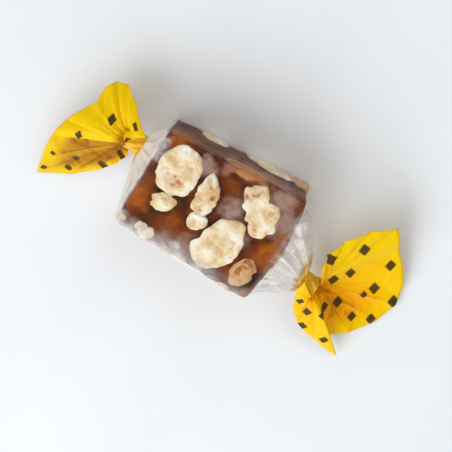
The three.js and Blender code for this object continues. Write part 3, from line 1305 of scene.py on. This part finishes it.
@dataclass
class FilmSleeve:
    """The clear film round the block, its gathered ends and the twisted necks.

    Attributes:
        form: The form of the wrapped block.
        necks: The neck at the -X end and the one at the +X end.
        shift: The shift from block coordinates to the part's frame.
        round_steps: Number of steps round the film.
        block_steps: Number of steps along the block.
        gather_steps: Number of steps from the block to a neck.
        neck_steps: Number of steps along a neck.
        into_tail: How far a neck's rope reaches into its tail.
        wrinkle: Depth of the wrinkles on the block.
        middle_wrinkle: Share of it that is left along the block's middle.
        flutes: Number of large folds round each gathered end.
        flute_depth: Their depth, as a share of the way in.
        sways: How unevenly they are spread, in two waves round the film.
        flute_share: How much of the depth is in the large folds.
        fine_share: How much of it is in the fine ones.
        fine_rate: How close together the fine folds are.
        fine_start: Depth of the fine folds where they begin on the block.
        gather_haze: Haze of each gathered end, from the block to the neck.
        neck_haze: Haze of the necks.
        block_haze: Haze of the film at the ends of the block.
        print_from: Shares of the gathered end between which the print begins.
        streak_rate: How close together the streaks of haze are, round and along the film.
        streak_layers: Layers of film in the densest streak.
        least_layers: Layers of film between the streaks, for each end.
        edge_highlight: Strength of the painted highlight where the film turns over a front edge.
        edge_turn: How wide that painted highlight is and how far it lies off the edge, in degrees.
        edge_fade: How much it fades, and between which distances along the block.
        painted_highlights: Where the clear film is painted white as a highlight.
        crumple: The wrinkles on the block.
        pull: The fine folds and streaks that run into the necks.
    """

    form: BlockForm
    necks: Sequence[Neck]
    shift: Vector
    round_steps: int = 420
    block_steps: int = 70
    gather_steps: int = 44
    neck_steps: int = 14
    into_tail: float = 0.7 * MM
    wrinkle: float = 0.11 * MM
    middle_wrinkle: float = 0.35
    flutes: int = 16
    flute_depth: float = 0.17
    sways: tuple[float, float] = (0.1, 0.05)
    flute_share: float = 0.7
    fine_share: float = 0.6
    fine_rate: float = 2.2
    fine_start: float = 0.02
    gather_haze: tuple[tuple[float, float], ...] = ((0.85, 0.98), (0.25, 0.42))
    neck_haze: float = 0.6
    block_haze: float = 0.02
    print_from: tuple[float, float] = (0.8, 0.95)
    streak_rate: tuple[float, float] = (1.5, 3.0)
    streak_layers: float = 10
    least_layers: tuple[float, float] = (0.7, 0.0)
    edge_highlight: float = 0.55
    edge_turn: tuple[float, float] = (5, 2.5)
    edge_fade: tuple[float, float, float] = (0.6, 2 * MM, 9 * MM)
    crumple: Creases = Creases(seed=5, spacing=5 * MM, octaves=3, stretch=3.0)
    painted_highlights: Sequence[Patch] = (
        Patch(-3.2, -9.0, 1.8, 0.5), Patch(-15.4, 8.0, 3.0, 0.5), Patch(-15.6, -8.6, 2.2, 0.4),
        Patch(-9.0, -11.0, 1.8, 0.35), Patch(17.6, -6.5, 2.4, 0.8), Patch(17.8, 5.6, 2.0, 0.8),
        Patch(18.6, 1.6, 2.0, 0.8), Patch(17.8, -2.4, 1.8, 0.8), Patch(20.6, 8.6, 1.6, 0.7),
    )
    pull: Creases = Creases(seed=8, spacing=0.9, octaves=3, stretch=6.0)

    def on_block(self, along: float) -> Ring:
        """Finds the film's ring on the block.

        Args:
            along: How far along the block it lies.

        Returns:
            The ring.
        """
        half = self.form.half

        def ring(angle: float) -> Vector:
            """Gives a point of the ring.

            Args:
                angle: Direction round the block, 0 towards +Y.

            Returns:
                The point in block coordinates.
            """
            point = self.form.film_point(along, angle)
            middle = Vector((point.x, 0, half.z))
            above = clamp(4 * point.z / self.form.height)
            ends = mix(self.middle_wrinkle, 1, (along / half.x) ** 2)
            round_way = angle * (half.y + half.z) / 2
            fold = 0.5 + 0.5 * self.crumple.at(round_way, along)
            return point + (middle - point).normalized() * self.wrinkle * above * ends * fold

        return ring

    def on_gather(self, neck: Neck, share: float) -> Ring:
        """Finds the film's ring between the block's end and a neck.

        Args:
            neck: The neck.
            share: Share of the way to it.

        Returns:
            The ring.
        """
        half = self.form.half
        drawn_in = 1 - (1 - share) ** neck.fullness
        depth = self.flute_depth * 4 * share * (1 - share)

        def ring(angle: float) -> Vector:
            """Gives a point of the ring.

            Args:
                angle: Direction round the block, 0 towards +Y.

            Returns:
                The point in block coordinates.
            """
            start = self.form.film_point(neck.side * half.x, angle, self.form.bend)
            end = neck.rope(-neck.length / 2, angle)
            point = Vector((mix(start.x, end.x, share), mix(start.y, end.y, drawn_in),
                            mix(start.z, end.z, drawn_in)))
            middle = Vector((point.x, mix(0, neck.y, drawn_in), mix(half.z, neck.height, drawn_in)))
            wide, narrow = self.sways
            bent = angle + wide * math.sin(3 * angle + neck.side) + narrow * math.sin(7 * angle)
            flute = abs(math.sin(0.5 * self.flutes * bent))
            fine = 0.5 + 0.5 * self.pull.at(angle * self.fine_rate, 2 * share + neck.side)
            inward = depth * (self.flute_share * flute + self.fine_share * fine)
            inward += self.fine_start * fine * (1 - share)
            return point.lerp(middle, clamp(inward))

        return ring

    def rings(self) -> list[tuple[Ring, float, float]]:
        """Lists the rings of the film.

        Returns:
            The rings from one neck's tip to the other's, each with its painted white and its print.
        """
        ends: list[list[tuple[Ring, float, float]]] = []
        for neck, thin_to_thick in zip(self.necks, self.gather_haze):
            end = []
            for i in range(self.gather_steps):
                share = i / self.gather_steps
                haze_and_sheen = mix(*thin_to_thick, smooth(0.0, 0.6, share))
                end.append((self.on_gather(neck, share), haze_and_sheen, smooth(*self.print_from, share)))
            tip = neck.length / 2 + neck.gap + self.into_tail
            for i in range(self.neck_steps + 1):
                offset = mix(-neck.length / 2, tip, i / self.neck_steps)
                end.append((lambda angle, n=neck, o=offset: n.rope(o, angle), self.neck_haze, 1.0))
            for share in (0.5, 0.0):
                end.append((lambda angle, n=neck, t=tip, s=share: n.rope(t, angle, s),
                            self.neck_haze, 1.0))
            ends.append(end)
        reach = self.form.half.x - self.form.bend
        middle = []
        for i in range(self.block_steps + 1):
            along = mix(-reach, reach, i / self.block_steps)
            middle.append((self.on_block(along), self.block_haze * (along / reach) ** 12, 0.0))
        return [*reversed(ends[0]), *middle, *ends[1]]

    def painted_edge_highlight(self, turn: float, along: float) -> float:
        """Finds the painted highlight where the film turns over the block's two front edges.

        Args:
            turn: Angle round the block.
            along: Distance along the block.

        Returns:
            The strength of that painted highlight.
        """
        half = self.form.half
        corner = math.pi - math.atan2(half.z, half.y)
        width, off = (math.radians(angle) for angle in self.edge_turn)
        lost, first, last = self.edge_fade
        fade = 1 - lost * smooth(first, last, along)
        return sum(self.edge_highlight * fade * math.exp(-(((turn - edge) / width) ** 2))
                   for edge in (corner - off, 2 * math.pi - corner))

    def streaked(self, haze_and_sheen: float, share_round: float, share_along: float) -> float:
        """Draws the painted white of the gathered film out into streaks that run to the neck.

        Args:
            haze_and_sheen: The even painted white.
            share_round: Share of the way round the film.
            share_along: Share of the way from one neck's tip to the other's.

        Returns:
            The streaked painted white.
        """
        along = 2 * abs(share_along - 0.5)
        rate_round, rate_along = self.streak_rate
        turn = share_round * 2 * math.pi
        streak = 0.5 + 0.5 * self.pull.at(turn * rate_round, along * rate_along)
        least = self.least_layers[0 if share_along < 0.5 else 1]
        layers = mix(1.0, least + self.streak_layers * streak**4, smooth(0.3, 0.5, along))
        return 1 - (1 - haze_and_sheen) ** layers

    def build(self, finish: ClearFilm) -> bpy.types.Object:
        """Makes the sleeve.

        Args:
            finish: Its finish.

        Returns:
            The piece.
        """
        rings = self.rings()
        last = len(rings) - 1

        def place(u: float, v: float) -> Vector:
            """Gives the film's point for its share round and its share along."""
            turn = 2 * math.pi * (round(u * self.round_steps) % self.round_steps) / self.round_steps
            return rings[round(v * last)][0](turn) + self.shift

        shape = bmesh.new()
        bmesh.ops.create_grid(shape, x_segments=self.round_steps, y_segments=last, size=0.5)
        haze_and_sheen = shape.verts.layers.float.new(Mark.HAZE_AND_SHEEN.value)
        print_mark = shape.verts.layers.float.new(Mark.PRINT.value)
        for vert in shape.verts:
            share_round, share_along = vert.co.x + 0.5, vert.co.y + 0.5
            _, even_haze, vert[print_mark] = rings[round(share_along * last)]
            vert.co = place(share_round, share_along)
            streaks = self.streaked(even_haze, share_round, share_along)
            # Painted highlights on the film's ends and front edges, over its white.
            painted_highlight = patched(self.painted_highlights, vert.co - self.shift)
            edge = self.painted_edge_highlight(2 * math.pi * share_round, vert.co.x - self.shift.x)
            vert[haze_and_sheen] = max(streaks, painted_highlight, edge)
        bmesh.ops.remove_doubles(shape, verts=shape.verts, dist=MERGE_DISTANCE)
        bmesh.ops.recalc_face_normals(shape, faces=shape.faces)
        return make_piece("film_sleeve", shape, finish.material(), Slot.CLEAR_FILM, "wrapped_block")


# ---- The printed tails -------------------------------------------------------------------------


@dataclass
class Tail:
    """One printed end of the wrapper: a sheet gathered on the neck that opens out in folds.

    Attributes:
        name: Name of the piece.
        node: The solid that it replaces.
        neck: The neck that it opens from.
        shift: The shift from block coordinates to the part's frame.
        folds: Its folds, in the order of the sheet.
        ring: The stretch of the neck that it is gathered on, in degrees.
        marks: The middles of its dark lozenges on the flat sheet and their reach, in mm.
        mark_turn: How far they are turned on it, in degrees.
        seed: Seed of its creases.
        lead: How far a fold runs straight out from the neck before it turns.
        least_lead: The least that it does.
        wall: Thickness of the sheet.
        solid_wall: Thickness of the sheet in the solid, whose middle it follows.
        floor_gap: Least height over the table.
        panel_steps: Number of steps across each panel between two folds.
        out_steps: Number of steps from the neck to the cut edge.
        crumple_depth: Depth of the crumples.
        crumple_from: Shares of the way out between which they begin.
        shade_crumple: How much deeper they are in the shade.
        pleat_depth: Depth of the small pleats near the neck.
        pleat_rate: How close together those are.
        roundness: How far the cut edge rounds out between two folds, as a share of their distance.
        panel_blend: Share of a panel over which its shade blends into the next one's.
        crease_shade: How much deeper the shade is along a fold.
        crease_width: Width of that, as a share of a panel.
        crease_least: Shades between which a fold begins to show so.
        rim_light: Shares of the way out between which the shade fades.
        root_shade: Painted shade at the neck.
        root_reach: Shares of the way out between which that fades.
        dip_shades: Painted shade of a crumple's dips, in the light and more in the shade.
        mark_squash: How much longer the lozenges are one way than the other.
    """

    name: str
    node: str
    neck: Neck
    shift: Vector
    folds: Sequence[Fold]
    ring: tuple[float, float]
    marks: Sequence[tuple[float, float, float]]
    mark_turn: float
    seed: int
    lead: float = 3 * MM
    least_lead: float = 1.2 * MM
    wall: float = 0.08 * MM
    solid_wall: float = 0.5 * MM
    floor_gap: float = 0.3 * MM
    panel_steps: int = 22
    out_steps: int = 60
    crumple_depth: float = 0.2 * MM
    crumple_from: tuple[float, float] = (0.05, 0.5)
    shade_crumple: float = 1.2
    pleat_depth: float = 0.28 * MM
    pleat_rate: float = 3
    roundness: float = 0.045
    panel_blend: float = 0.14
    crease_shade: float = 0.5
    crease_width: float = 0.05
    crease_least: tuple[float, float] = (0.1, 0.5)
    rim_light: tuple[float, float] = (0.75, 1.0)
    root_shade: float = 0.8
    root_reach: tuple[float, float] = (0.05, 0.4)
    dip_shades: tuple[float, float] = (0.25, 1.0)
    mark_squash: float = 1.2

    def __post_init__(self) -> None:
        """Unrolls the folds flat and draws the creases."""
        self.crumple = Creases(seed=self.seed, spacing=7 * MM, octaves=3)
        self.pleats = Creases(seed=self.seed + 1, spacing=0.16, octaves=2, stretch=9.0)
        self.leads = [max(self.lead * heading(fold.bearing).dot(self.neck.outward), self.least_lead)
                      for fold in self.folds]
        turned = 0.0
        self.flat: list[Vector] = []
        for fold, following in zip(self.folds, (*self.folds[1:], self.folds[-1])):
            self.flat.append(Vector((math.cos(turned), math.sin(turned), 0)) * fold.reach * MM)
            turned += fold.edge.angle(following.edge, 0.0)

    def sheet(self, across: float, out: float) -> tuple[Vector, Vector, Vector]:
        """Finds a point of the sheet.

        Args:
            across: Share of the way from the first fold to the last.
            out: Share of the way from the neck to the cut edge.

        Returns:
            The point from the neck, its panel's normal, and its place on the flat sheet.
        """
        panels = len(self.folds) - 1
        place = clamp(across) * panels
        panel = min(int(place), panels - 1)
        within = place - panel
        first, second = self.folds[panel].edge, self.folds[panel + 1].edge
        facing = first.cross(second).normalized()
        angle = math.radians(mix(*self.ring, clamp(across)))
        radius = self.neck.radius - self.solid_wall / 2
        root = self.neck.outward * (self.neck.length / 2 + self.neck.gap + self.solid_wall / 2)
        root = root + self.neck.across * radius * math.cos(angle)
        root.z += radius * math.sin(angle)
        lift = mix(self.folds[panel].lift, self.folds[panel + 1].lift, within)
        lead = mix(self.leads[panel], self.leads[panel + 1], within)
        start = root + self.neck.outward * lead + Vector((0, 0, lift * MM))
        edge = first.lerp(second, within)
        chord = (second - first).length
        edge = edge + edge.normalized() * self.roundness * 4 * within * (1 - within) * chord
        rest = 1 - out
        point = root * rest**2 + start * (2 * rest * out) + edge * out**2
        point = point + facing * self.folds[panel].bow * MM * math.sin(math.pi * within) * out
        flat_edge = self.flat[panel].lerp(self.flat[panel + 1], within)
        flat = flat_edge.normalized() * lead * 2 * rest * out + flat_edge * out**2
        return point, facing, flat

    def place(self, across: float, out: float) -> Vector:
        """Finds a finished point of the sheet, with its crumples and pleats.

        Args:
            across: Share of the way from the first fold to the last.
            out: Share of the way from the neck to the cut edge.

        Returns:
            The point in the part's frame.
        """
        point, facing, flat = self.sheet(across, out)
        crumples = smooth(*self.crumple_from, out) * self.crumple.at(flat.x, flat.y)
        depth = self.crumple_depth * crumples * (1 + self.shade_crumple * self.shade(across, out))
        # The pleats are deepest, at 1, a third of the way out.
        pleat_share = 27 / 4 * out * (1 - out) ** 2
        depth += self.pleat_depth * pleat_share * self.pleats.at(across * self.pleat_rate, out)
        point = point + facing * depth + self.neck.middle
        point.z = max(point.z, self.floor_gap)
        return point + self.shift

    def ink_distance(self, across: float, out: float) -> float:
        """Finds how far out of the nearest lozenge a point is.

        Args:
            across: Share of the way from the first fold to the last.
            out: Share of the way from the neck to the cut edge.

        Returns:
            0 at the lozenge's middle and 1 at its edge.
        """
        _, _, flat = self.sheet(across, out)
        cos, sin = math.cos(math.radians(self.mark_turn)), math.sin(math.radians(self.mark_turn))
        nearest = math.inf
        for middle_x, middle_y, reach in self.marks:
            x, y = flat.x / MM - middle_x, flat.y / MM - middle_y
            out_of = abs(x * cos + y * sin) + self.mark_squash * abs(y * cos - x * sin)
            nearest = min(nearest, out_of / reach)
        return nearest

    def shade(self, across: float, out: float) -> float:
        """Finds how much painted shade a point gets from lying among the folds.

        Args:
            across: Share of the way from the first fold to the last.
            out: Share of the way from the neck to the cut edge.

        Returns:
            The depth, 0 to 1.
        """
        panels = len(self.folds) - 1
        place = clamp(across) * panels
        panel = min(int(place), panels - 1)
        beside = panel + 1 if place - panel > 0.5 else panel - 1
        own, other = self.folds[panel].shade, self.folds[min(max(beside, 0), panels - 1)].shade
        to_fold = abs(place - round(place))
        deep = mix(0.5 * (own + other), own, smooth(0.0, self.panel_blend, to_fold))
        crease = math.exp(-((to_fold / self.crease_width) ** 2)) * smooth(*self.crease_least, deep)
        deep = (deep + self.crease_shade * crease) * (1 - smooth(*self.rim_light, out))
        return clamp(deep + self.root_shade * (1 - smooth(*self.root_reach, out)))

    def painted_shade(self, across: float, out: float) -> float:
        """Finds the painted shade of the sheet at a point, deeper in the dips of its crumples.

        Args:
            across: Share of the way from the first fold to the last.
            out: Share of the way from the neck to the cut edge.

        Returns:
            The depth, 0 to 1.
        """
        _, _, flat = self.sheet(across, out)
        dip = max(0.0, self.crumple.at(flat.x, flat.y))
        in_light, in_shade = self.dip_shades
        return clamp(self.shade(across, out) * (1 + in_shade * dip) + in_light * dip)

    def build(self, finish: PrintedFilm) -> bpy.types.Object:
        """Makes the tail.

        Args:
            finish: Its finish.

        Returns:
            The piece.
        """
        columns = (len(self.folds) - 1) * self.panel_steps
        shape = bmesh.new()
        bmesh.ops.create_grid(shape, x_segments=columns, y_segments=self.out_steps, size=0.5)
        painted_shade = shape.verts.layers.float.new(Mark.PAINTED_SHADE.value)
        ink = shape.verts.layers.float.new(Mark.INK.value)
        for vert in shape.verts:
            across, out = vert.co.x + 0.5, vert.co.y + 0.5
            vert.co = self.place(across, out)
            # Painted shade of the folds, creases and neck.
            vert[painted_shade] = self.painted_shade(across, out)
            vert[ink] = self.ink_distance(across, out)
        piece = make_piece(self.name, shape, finish.material(), Slot.PRINTED_FILM, self.node)
        wall = piece.modifiers.new("wall", "SOLIDIFY")
        wall.thickness = self.wall
        wall.offset = 0.0
        return piece


LEFT_MARKS = (
    (-2.6, 5.2, 1.4), (-5.2, -1.7, 1.4), (4.1, 10.1, 1.2), (11.8, 13.9, 0.9), (17.1, 14.4, 1.1),
    (14.7, 9.4, 1.1), (10.7, 8.4, 1.2), (9.7, 3.4, 1.2), (4.7, 0.7, 1.0), (-2.4, -5.9, 1.0),
)
RIGHT_MARKS = (
    (-0.9, -13.5, 1.8), (-9.8, -14.5, 1.7), (3.4, -7.7, 1.8), (-4.0, -7.1, 1.6),
    (-2.7, -3.1, 1.7), (-12.1, -8.3, 1.7), (-11.5, -5.6, 1.1), (-18.1, -9.3, 1.7),
    (-6.4, 2.3, 1.4), (-13.9, -0.3, 1.4), (-17.8, -3.0, 1.5), (-8.4, -0.3, 1.6),
    (0.0, 3.4, 1.1), (-3.6, 4.2, 1.3), (-7.1, 7.8, 1.3), (-12.8, 6.9, 1.3),
)
LEFT_NECK = Neck(x=-19.5 * MM, y=4.2 * MM, bearing=172, fullness=0.85)
RIGHT_NECK = Neck(x=25.5 * MM, y=-6 * MM, bearing=-6, fullness=0.62)

LEFT_FOLDS = (
    Fold(-98, -16, 3.7, -0.3, 0, 0.7),
    Fold(-107, -23, 7.6, 0.3, -0.5, 0.75),
    Fold(-116, -22, 12.2, 0.3, -1, 0.85),
    Fold(-125, -20, 18.7, 0.2, -1, 0.7),
    Fold(-134, -15, 25.1, -0.3, 0, 0.55),
    Fold(-142, -9, 21.5, -0.3, 0.5, 0.7),
    Fold(-156, -3, 18.1, -0.5, 3.5, 0),
    Fold(-171, 0, 15.2, -0.3, 5, 0),
    Fold(174, 4, 12.8, 0.3, 5, 0),
    Fold(160, 8, 11.5, 0.3, 4.5, 0),
    Fold(144, 2, 12.9, -0.4, 4, 0),
    Fold(134, 0, 13.1, -0.4, 4, 0),
    Fold(122, 5, 12.1, -0.4, 5, 0),
    Fold(111, 25, 9.4, -0.4, 7, 0),
    Fold(66, 62, 7.9, -0.3, 8, 0),
    Fold(167, 72, 6.3, 0, 4, 0.2),
)
RIGHT_FOLDS = (
    Fold(140, 68, 4.3, 0.2, 2, 0.3),
    Fold(-136, 50, 3.7, 0.3, 2.5, 0.3),
    Fold(-91, 0, 6.4, 0.3, 2.5, 0.3),
    Fold(-74, -13, 10.4, 0.3, 3, 0.3),
    Fold(-56, -16, 15.0, 0.3, 4.5, 0.1),
    Fold(-43, -17, 21.2, -0.5, 6.5, 0),
    Fold(-42, -17, 15.0, -0.4, 1, 0.7),
    Fold(-28, -18, 16.9, -0.4, -3, 0.7),
    Fold(-9, -18, 19.4, -0.4, -4, 0.55),
    Fold(8, -16, 21.3, -0.4, -4, 0.35),
    Fold(22, -14, 21.4, -0.3, -3, 0.2),
    Fold(48, -3, 20.3, 0.4, -1, 0),
    Fold(62, 5, 22.3, 0.5, 1, 0),
    Fold(71, 10, 18.0, 0.5, 2, 0),
    Fold(81, 17, 13.4, 0.4, 3, 0.1),
    Fold(89, 28, 9.6, 0.3, 4, 0.3),
    Fold(85, 43, 7.3, 0, 5, 0.4),
)


# ---- The studio --------------------------------------------------------------------------------


@dataclass(frozen=True)
class SoftBox:
    """A square softbox.

    Attributes:
        right: How far to the right of the view it stands, as part of its direction.
        up: How far to the top of the view.
        high: How high over the table.
        distance: Its distance from the sweet, in metres.
        size: Its width, in metres.
        power: Its power, in watts.
        colour: Its colour.
    """

    right: float
    up: float
    high: float
    distance: float
    size: float
    power: float
    colour: str


@dataclass
class Studio:
    """The pale table, the soft light and the camera.

    Attributes:
        shift: The shift from block coordinates to the part's frame.
        eye: Where the camera stands, in block coordinates.
        view_right: The table's direction that points right in the view.
        view_up: The table's direction that points up in the view.
        lens: The camera's focal length, in mm.
        clip_start: How close to the camera things begin to show.
        table_reach: Half the width of the table top, in metres.
        sky: Colour of the room.
        sky_strength: Its brightness.
        boxes: The softboxes.
    """

    shift: Vector
    eye: Vector = field(default_factory=lambda: Vector((-7.45, 53.33, 209.5)) * MM)
    view_right: Vector = field(default_factory=lambda: Vector((0.892, 0.452, 0)))
    view_up: Vector = field(default_factory=lambda: Vector((-0.452, 0.892, 0)))
    lens: float = 80
    clip_start: float = 10 * MM
    table_reach: float = 1.5
    sky: str = "#f4f1ec"
    sky_strength: float = 0.58
    boxes: Sequence[SoftBox] = (
        SoftBox(-0.75, -0.45, 0.85, 0.9, 0.7, 4.9, "#f6faff"),
        SoftBox(-0.3, -0.95, 0.55, 0.9, 0.5, 2.2, "#f8fbff"),
        SoftBox(0.5, 0.75, 0.9, 0.9, 0.4, 1.0, "#f6faff"),
    )

    def aim(self, source: Vector, target: Vector) -> Matrix:
        """Finds the placement of a camera or lamp.

        Args:
            source: Where it stands.
            target: Where it looks.

        Returns:
            Its matrix.
        """
        away = (source - target).normalized()
        right = self.view_up.cross(away).normalized()
        matrix = Matrix((right, away.cross(right), away)).transposed().to_4x4()
        matrix.translation = source
        return matrix

    def camera(self, target: Vector) -> None:
        """Sets the camera at the viewing point.

        Args:
            target: Where it looks.
        """
        data = bpy.data.cameras.new("view")
        data.lens = self.lens
        data.clip_start = self.clip_start
        camera = bpy.data.objects.new("view", data)
        camera.matrix_world = self.aim(self.eye + self.shift, target)
        bpy.context.scene.collection.objects.link(camera)
        bpy.context.scene.camera = camera

    def light(self, target: Vector) -> None:
        """Adds the softboxes and the pale surroundings.

        Args:
            target: Where the softboxes point.
        """
        for number, box in enumerate(self.boxes):
            data = bpy.data.lights.new(f"softbox_{number}", "AREA")
            data.size = box.size
            data.energy = box.power
            data.color = linear(box.colour)[:3]
            way = self.view_right * box.right + self.view_up * box.up
            way = (way + Vector((0, 0, box.high))).normalized()
            lamp = bpy.data.objects.new(data.name, data)
            lamp.matrix_world = self.aim(target + way * box.distance, target)
            bpy.context.scene.collection.objects.link(lamp)
        world = bpy.data.worlds.new("pale_room")
        world.use_nodes = True
        background = world.node_tree.nodes["Background"]
        background.inputs["Color"].default_value = linear(self.sky)
        background.inputs["Strength"].default_value = self.sky_strength
        bpy.context.scene.world = world

    def table(self, finish: PaleTable) -> None:
        """Adds the table top.

        Args:
            finish: Its finish.
        """
        shape = bmesh.new()
        bmesh.ops.create_grid(shape, x_segments=1, y_segments=1, size=self.table_reach)
        mesh = bpy.data.meshes.new("table")
        shape.to_mesh(mesh)
        shape.free()
        mesh.materials.append(finish.material())
        table = bpy.data.objects.new("table", mesh)
        bpy.context.scene.collection.objects.link(table)
        table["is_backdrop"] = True

    def build(self, finish: PaleTable) -> None:
        """Sets up the camera, the light and the table.

        Args:
            finish: The table's finish.
        """
        low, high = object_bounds()
        target = (Vector(low) + Vector(high)) / 2
        self.camera(target)
        self.light(target)
        self.table(finish)
        bpy.context.scene.view_settings.view_transform = "Standard"


# ---- Assembly ----------------------------------------------------------------------------------


def block_shift(form: BlockForm, necks: Sequence[Neck]) -> Vector:
    """Finds where block coordinates lie in the part's frame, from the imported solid.

    Args:
        form: The form of the block.
        necks: The two necks.

    Returns:
        The shift from block coordinates to the part's frame.
    """
    low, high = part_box("wrapped_block")
    round_way = [math.radians(degree) for degree in range(360)]
    xs = [neck.rope(neck.length / 2, angle).x for neck in necks for angle in round_way]
    reach = form.half.x - form.bend
    ys = [form.film_point(along, angle).y for along in (-reach, reach) for angle in (0, math.pi)]
    return Vector(((low.x + high.x - min(xs) - max(xs)) / 2,
                   (low.y + high.y - min(ys) - max(ys)) / 2, 0))


def main() -> None:
    """Builds the sweet and its studio."""
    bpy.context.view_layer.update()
    form = BlockForm()
    necks = (LEFT_NECK, RIGHT_NECK)
    shift = block_shift(form, necks)
    log.info("block coordinates start at %.4f, %.4f", shift.x, shift.y)
    NougatBlock(form, shift, TOP_KERNELS).build(CaramelNougat())
    Peanuts(form, shift).build(RoastedPeanut())
    FilmSleeve(form, necks, shift).build(ClearFilm())
    left = Tail("tail_left", "twist_left", LEFT_NECK, shift, LEFT_FOLDS, ring=(-60, 200),
                marks=LEFT_MARKS, mark_turn=-16, seed=21)
    left.build(PrintedFilm("deep_shade", shade="#c28400", deep="#9e6400"))
    right = Tail("tail_right", "twist_right", RIGHT_NECK, shift, RIGHT_FOLDS, ring=(150, 390),
                 marks=RIGHT_MARKS, mark_turn=-42, seed=34)
    right.build(PrintedFilm("bright_shade", shade="#ffb000", deep="#dc8800"))
    Studio(shift).build(PaleTable())


if __name__ == "__main__":
    main()
